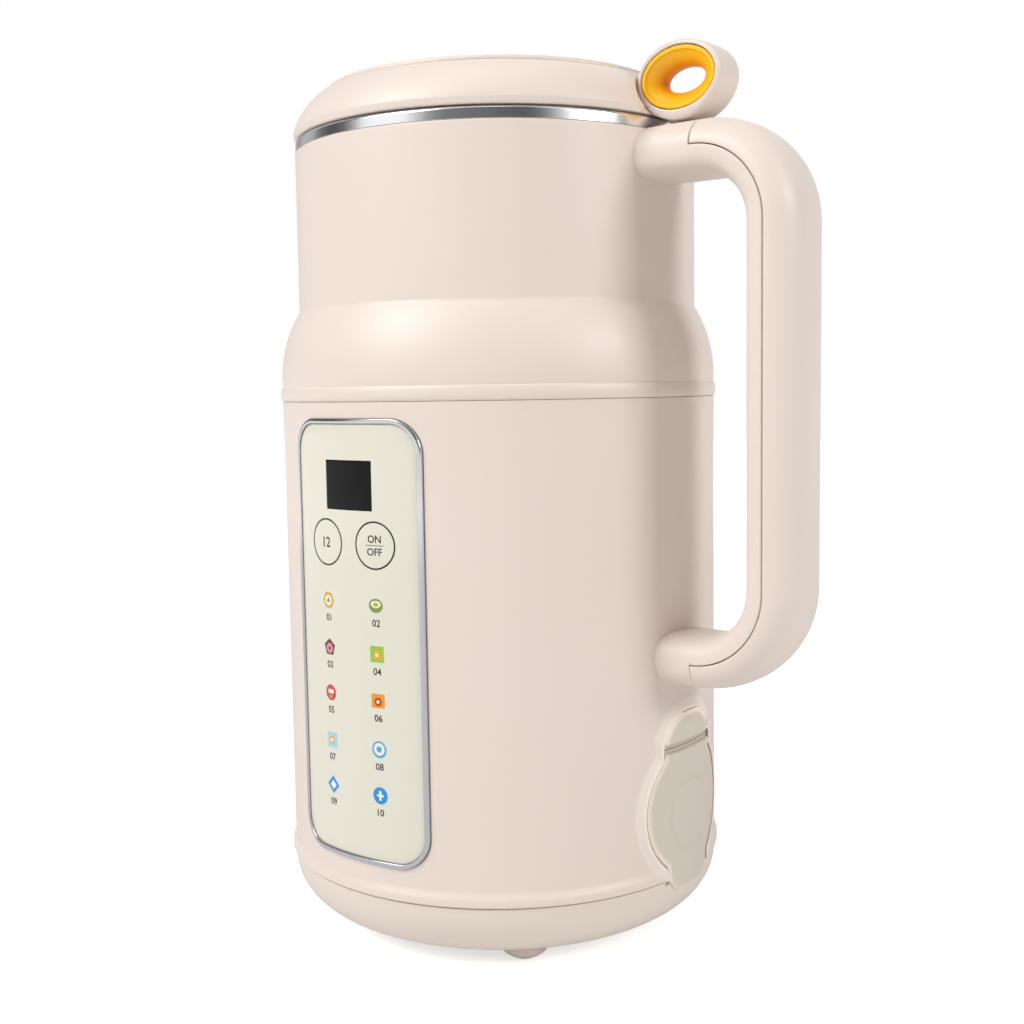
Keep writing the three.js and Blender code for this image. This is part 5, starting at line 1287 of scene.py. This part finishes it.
prints["ink_black"] = [
    *(printed_ring(side * KEY_ACROSS, KEY_HEIGHT, KEY_RADIUS, KEY_LINE) for side in (-1, 1)),
    lettering("12", 2.6, -KEY_ACROSS, KEY_HEIGHT),
    lettering("ON", 1.9, KEY_ACROSS, KEY_HEIGHT + 1.6),
    lettering("OFF", 1.9, KEY_ACROSS, KEY_HEIGHT - 1.6),
    printed(shape_line(4, 1.0, 45, 3.9, 0.1), KEY_ACROSS, KEY_HEIGHT, PRINT_OVER),
]
for number, shapes in enumerate(PICTURES):
    across, height = (-KEY_ACROSS, KEY_ACROSS)[number % 2], PICTURE_HEIGHTS[number // 2]
    for layer, (ink, sides, reach, *rest) in enumerate(shapes):
        turn, rise, wide, tall = (*rest, *SHAPE_REST[len(rest):])
        line = shape_line(sides, reach, turn, wide, tall)
        prints["ink_" + ink].append(printed(line, across, height + rise, LAYER_RISE * (layer + 1)))
    prints["ink_black"].append(lettering(f"{number + 1:02d}", 1.8, across, height - 4.4))
for ink, meshes in prints.items():
    material = moulded(ink + "_screen_print", INKS[ink], INKS[ink], 0.35, 0.5, 0.002)
    slot = "display_glass" if ink == "ink_black" else "panel_plastic"
    piece("print_" + ink, joined(*meshes), "body", slot, material)

# %% [markdown]
# The silicone cover has a fixed head and a flap. They meet at a fold, where the silicone is thin.
# Each is a plate with a soft edge. A ring is pressed into the flap's face.

# %% Silicone cover
COVER_RADIUS, COVER_BACK, COVER_SHIFT, HEAD_MIDDLE = 61.2, 57.8, 0.24, 56.4
FOLD, FOLD_HALF, FOLD_RADIUS, WEB_HALF, FOLD_SLIT = 53.95, 1.15, 60.1, 0.35, 0.1
EMBOSS_RADIUS, EMBOSS_MIDDLE, EMBOSS_DEPTH, EMBOSS_WIDE = 9.25, 35.5, 0.38, 0.5
# The last number on the next line is the width of the painted highlight along the cover's edge.
EDGE_WIDE, EDGE_DEEP, FOLD_EDGE, COVER_HIGHLIGHT = 1.75, 0.5, 0.3, 1.1
# The rounding of the plate's edge: shares of its width and of its depth.
EDGE_SHARES = [(0, 1.5), (0.02, 1.25), (0.07, 1.03), (0.14, 0.9), (0.3, 0.7), (0.6, 0.38),
               (0.82, 0.14), (0.9, 0.06), (1, 0), (1.2, 0)]
fold_low, fold_high = FOLD - FOLD_HALF, FOLD + FOLD_HALF


def cover_plate(angle, reach, middle, emboss):
    """Rings inside an outline given by its reach from the middle. Near the edge a ring lies a
    fixed distance inside the outline, and the rest are shares of the last one. The edge is
    finer at the fold."""
    factor = slant(angle, reach)
    from_fold = np.abs(middle + reach * np.cos(angle) - FOLD)
    at_fold = smooth(-from_fold, -FOLD_HALF - 1.6, -FOLD_HALF - 0.1)
    wide = EDGE_WIDE + (FOLD_EDGE - EDGE_WIDE) * at_fold
    deep = EDGE_DEEP + (FOLD_EDGE - EDGE_DEEP) * at_fold
    steps = [(0.25, COVER_BACK), (0, COVER_BACK + 0.25), (0, COVER_RADIUS - 1.5 * deep - 0.3)]
    steps += [(wide * across, COVER_RADIUS - deep * down) for across, down in EDGE_SHARES]
    edge = [(reach - inset * factor, radius) for inset, radius in steps]
    back = [(edge[0][0] * share, COVER_BACK) for share in np.linspace(0.2, 1, 5)]
    face = [(edge[-1][0] * share, COVER_RADIUS) for share in np.linspace(1, 0, 60)[1:]]
    ring, radius = (np.stack(rows) for rows in zip(
        *(np.broadcast_arrays(*row) for row in back + edge + face)))
    y, z = ring * np.sin(angle), middle + ring * np.cos(angle)
    if emboss:
        off = np.hypot(y, z - EMBOSS_MIDDLE) - EMBOSS_RADIUS
        front = radius > COVER_RADIUS - 0.01
        radius = radius - np.where(front, EMBOSS_DEPTH * np.exp(-(off / EMBOSS_WIDE) ** 2), 0)
    plate = surface(on_side(y + INLET_OFFSET + COVER_SHIFT, z, radius))
    # A painted highlight along the cover's edge.
    paint_edge_highlight(plate, -1, COVER_HIGHLIGHT)
    return plate


def head_reach(angle):
    """The head is a strip with a rounded top, cut off level at the fold."""
    dy, dz = np.sin(angle), np.cos(angle)
    up = ray_to_strip(dy, np.maximum(dz, 0.001), HEAD_HALF, HEAD_TOP - HEAD_MIDDLE, 6.0 - 0.001)
    to_side = HEAD_HALF / np.maximum(np.abs(dy), 1e-6)
    to_fold = np.where(dz < -0.02, (HEAD_MIDDLE - fold_high) / np.maximum(-dz, 0.02), FAR)
    outline = np.where(dz > 0, up, to_side)
    return (outline ** -FOLD_SOFTNESS + to_fold ** -FOLD_SOFTNESS) ** (-1 / FOLD_SOFTNESS)


def web(low, high):
    """The thin silicone in the fold, as a curved strip."""
    half = HEAD_HALF + 0.3
    y = np.linspace(-half, half, 25)
    back, front = FOLD_RADIUS - WEB_HALF, FOLD_RADIUS + WEB_HALF
    loop = [(low, back), (high, back), (high, front), (low, front)]
    strip = np.stack([on_side(y + INLET_OFFSET, 0 * y + z, r) for z, r in loop], 1)
    ends = [np.repeat(end.mean(1, keepdims=True), 4, 1) for end in (strip[:1], strip[-1:])]
    return surface(np.concatenate([ends[0], strip, ends[1]]))


angle = np.linspace(-math.pi, math.pi, 361)[:-1]
flap_reach = inlet_reach(angle, fold=fold_low - INLET_MIDDLE)
flap_plate = cover_plate(angle, flap_reach, INLET_MIDDLE, True)
head_plate = cover_plate(angle, head_reach(angle), HEAD_MIDDLE, False)
low_web, high_web = web(fold_low - 0.4, FOLD - FOLD_SLIT), web(FOLD + FOLD_SLIT, fold_high + 0.4)
# The fold's webs take the darker silicone, painted shade in the groove.
piece("fold_web_low", low_web, "flap", "cover_silicone", fold_silicone_painted_shade)
piece("inlet_flap", flap_plate, "flap", "cover_silicone", silicone, "inlet_cover_flap")
piece("fold_web_high", high_web, "body", "cover_silicone", fold_silicone_painted_shade)
piece("inlet_head", head_plate, "body", "cover_silicone", silicone, "inlet_cover_head")

# %% [markdown]
# What stays as it was packed lies inside the casing or behind the flap. Each part gets the finish of
# its material: laminate with a green lacquer, glass-filled nylon, turned brass, cast aluminium,
# lacquered copper wire, sintered magnet and pressed carbon.

# %% Finishes of the parts inside
def speckled(name, colour, fleck, roughness, size_mm, depth_mm, share=0.6, **constants):
    """Two colours in patches of a real size, from a cell pattern, with a bump of the same cells."""
    material, tree, shader = finish(name, colour, roughness, **constants)
    cells = add_node(tree, "ShaderNodeTexVoronoi", Vector=object_place(tree), Scale=1 / (size_mm * MM))
    step = ranged(tree, cells.outputs["Distance"], share - 0.1, share + 0.1)
    tint = blend(tree, step, linear(colour), linear(fleck))
    tree.links.new(tint, shader.inputs["Base Color"])
    bumped(tree, shader, cells.outputs["Distance"], depth_mm)
    return material


def wound(name, colour, gap, wire_mm):
    """Lacquered wire laid side by side: bands round the upright axis, light on each wire's crest."""
    material, tree, shader = finish(name, colour, 0.32, Metallic=0.9)
    wave = add_node(tree, "ShaderNodeTexWave", {"bands_direction": "Z"}, Vector=object_place(tree),
                    Scale=1 / (wire_mm * MM * 3.14), Distortion=0.4)
    tint = blend(tree, wave.outputs["Fac"], linear(gap), linear(colour))
    tree.links.new(tint, shader.inputs["Base Color"])
    bumped(tree, shader, wave.outputs["Fac"], 0.1)
    return material


sintered = speckled("sintered_magnet", "6B6A68", "7C7B79", 0.4, 0.3, 0.01, Metallic=0.8)
# The magnet for the lid switch is a small block in the lower wall of the loop.
magnet = block((AXIS_X + 62.5, -2.3, 213.35), (AXIS_X + 65.9, 2.3, 214.5), 0.3)
piece("loop_magnet_block", magnet, "lid", "magnet_steel", sintered, "lid_magnet")
INSIDE = [
    (speckled("green_lacquered_laminate", "1F6B3A", "2C8A4C", 0.35, 1.6, 0.02), "display_board power_board"),
    (dark_plastic, "inlet_socket thermostat motor_plate"),
    (black_window, "lid_switch"),
    (speckled("pressed_carbon", "2A2A2C", "3B3B3E", 0.6, 0.5, 0.02),
     "key_pad_left key_pad_right brush_rear brush_front"),
    (brushed("turned_brass", "D2AE5A", 0.28, (1, 1, 10), 0.4),
     "inlet_pin_line inlet_pin_earth inlet_pin_neutral temperature_probe"),
    (speckled("die_cast_aluminium", "B4B6B8", "C6C8CA", 0.45, 0.7, 0.03, Metallic=1.0),
     "heating_plate upper_bracket lower_bracket"),
    (wound("lacquered_copper_wire", "C9763E", "6E3A1C", 0.5), "motor_stator motor_rotor commutator"),
    (steel_bright, "handle_screw_upper handle_screw_lower blade_shaft heating_tube upper_bearing "
                   "lower_bearing"),
    (clear_silicone, "thermal_fuse"),
    (moulded("blue_polypropylene", "2F6FA8", "2A679E", 0.4, 0.6, 0.006), "motor_fan"),
]
for material, names in INSIDE:
    for name in names.split():
        for entry in nodes[name].material_slots:
            entry.material = material
print("finished inside:", sum(len(names.split()) for _, names in INSIDE), "parts")

# %% [markdown]
# A plain pale floor takes the shadow. It glows a little for the camera, mirrors and glass, so that it
# runs into the white background, and is plain paper for the light on all other surfaces.

# %% Floor
FLOOR_HALF = 3.0
WHITE = (1, 1, 1, 1)


def who_looks(tree):
    """1 for rays from the camera, a mirror or through glass, and 0 for the light on surfaces. Then
    the same for mirrors and glass alone."""
    rays = add_node(tree, "ShaderNodeLightPath").outputs
    shiny = maths(tree, "MAXIMUM", rays["Is Glossy Ray"], rays["Is Transmission Ray"])
    return maths(tree, "MAXIMUM", rays["Is Camera Ray"], shiny), shiny


floor_mesh = bpy.data.meshes.new("floor")
corners = [(x * FLOOR_HALF, y * FLOOR_HALF, 0) for x, y in ((-1, -1), (1, -1), (1, 1), (-1, 1))]
floor_mesh.from_pydata(corners, [], [(0, 1, 2, 3)])
floor = placed("floor", floor_mesh)
floor_material, tree, floor_shader = finish("floor_white_paper", "F2F2F2", 0.95, Emission_Color=WHITE)
seen, shiny = who_looks(tree)
away = add_node(tree, "ShaderNodeVectorMath", {"operation": "LENGTH"}, i0=object_place(tree)).outputs["Value"]
level = ranged(tree, away, 0.2, 1.0, 0.62, 1.0)
# Mirrors see the near floor as a grey sheet and the far floor as white, as on a shooting table.
table = ranged(tree, away, 0.85, 1.15, 0.34, 1.0)
lifted = add_node(tree, "ShaderNodeMix", Factor=shiny, i2=level, i3=table).outputs[0]
tree.links.new(maths(tree, "MULTIPLY", seen, lifted), floor_shader.inputs["Emission Strength"])
paper = blend(tree, shiny, linear("F2F2F2"), linear("B4B4BA"))
tree.links.new(paper, floor_shader.inputs["Base Color"])
floor_mesh.materials.append(floor_material)
print("floor:", 2 * FLOOR_HALF, "m wide")

# %% [markdown]
# Shiny parts mirror a ring of white and grey cards, written as brightness over the azimuth. The
# light on everything else is even and slightly warm.

# %% Background
AMBIENT = 0.36
DIFFUSE_TINT = (1, 0.985, 0.93, 1)
CARDS = [
    (-180, 0.9), (-150, 1.0), (-128, 0.8), (-112, 0.3), (-98, 0.5), (-86, 0.5), (-76, 0.15),
    (-65, 0.07), (-54, 0.08), (-46, 0.3), (-38, 0.95), (-33, 1.0), (-12, 1.0), (-4, 0.6), (3, 0.25),
    (13, 0.16), (30, 0.15), (46, 0.11), (55, 0.08), (63, 0.1), (70, 0.27), (77, 0.6), (87, 1.0),
    (96, 1.0), (103, 0.8), (108, 0.4), (120, 0.14), (134, 0.18), (145, 0.6), (160, 0.9), (180, 0.9),
]
world = bpy.data.worlds.new("studio")
world.use_nodes = True
tree = world.node_tree
background = tree.nodes["Background"]
seen, shiny = who_looks(tree)
direction = add_node(tree, "ShaderNodeTexCoord").outputs["Generated"]
apart = add_node(tree, "ShaderNodeSeparateXYZ", Vector=direction).outputs
azimuth = maths(tree, "ARCTAN2", apart["X"], maths(tree, "MULTIPLY", apart["Y"], -1.0))
cards = add_node(tree, "ShaderNodeValToRGB", Fac=ranged(tree, azimuth, -math.pi, math.pi))
ramp = cards.color_ramp
ramp.interpolation = "EASE"
while len(ramp.elements) < len(CARDS):
    ramp.elements.new(0.5)
for element, (degrees, _) in zip(ramp.elements, CARDS):
    element.position = (degrees + 180) / 360
for element, (_, value) in zip(ramp.elements, CARDS):
    element.color = (value, value, value, 1)
above = ranged(tree, apart["Z"], -0.01, 0.01)
room = blend(tree, above, WHITE, cards.outputs["Color"])
plain = blend(tree, seen, DIFFUSE_TINT, WHITE)
tree.links.new(blend(tree, shiny, plain, room), background.inputs["Color"])
tree.links.new(ranged(tree, seen, 0, 1, AMBIENT, 1.0), background.inputs["Strength"])
bpy.context.scene.world = world
print("cards round the scene:", len(CARDS))

# %% [markdown]
# Three large soft lamps model the body: a strong one from the left, a weaker one from the right and
# a faint one from above, at a level where a colour renders about as it is written.

# %% Lamps
LAMP_DISTANCE = 1400


def lamp(name, azimuth, elevation, size, level):
    """A square soft lamp that looks at the machine's middle from that direction. A lamp of P watts
    at d metres lights a white card square to it to a level of P / (pi * d) ** 2."""
    data = bpy.data.lights.new(name, "AREA")
    data.size = size * MM
    data.energy = level * (math.pi * LAMP_DISTANCE * MM) ** 2
    thing = placed(name, data)
    a, e = math.radians(azimuth), math.radians(elevation)
    back = Vector((math.sin(a) * math.cos(e), -math.cos(a) * math.cos(e), math.sin(e)))
    thing.location = (Vector((AXIS_X, 0, 120)) + back * LAMP_DISTANCE) * MM
    thing.rotation_euler = (-back).to_track_quat("-Z", "Y").to_euler()
    print(f"{name}: {data.energy:.2f} W")


lamp("lamp_left", -21, 40, 700, 0.65)
lamp("lamp_right", 96, 24, 420, 0.32)
lamp("lamp_top", 20, 80, 600, 0.1)

bpy.context.scene.view_settings.view_transform = "Standard"
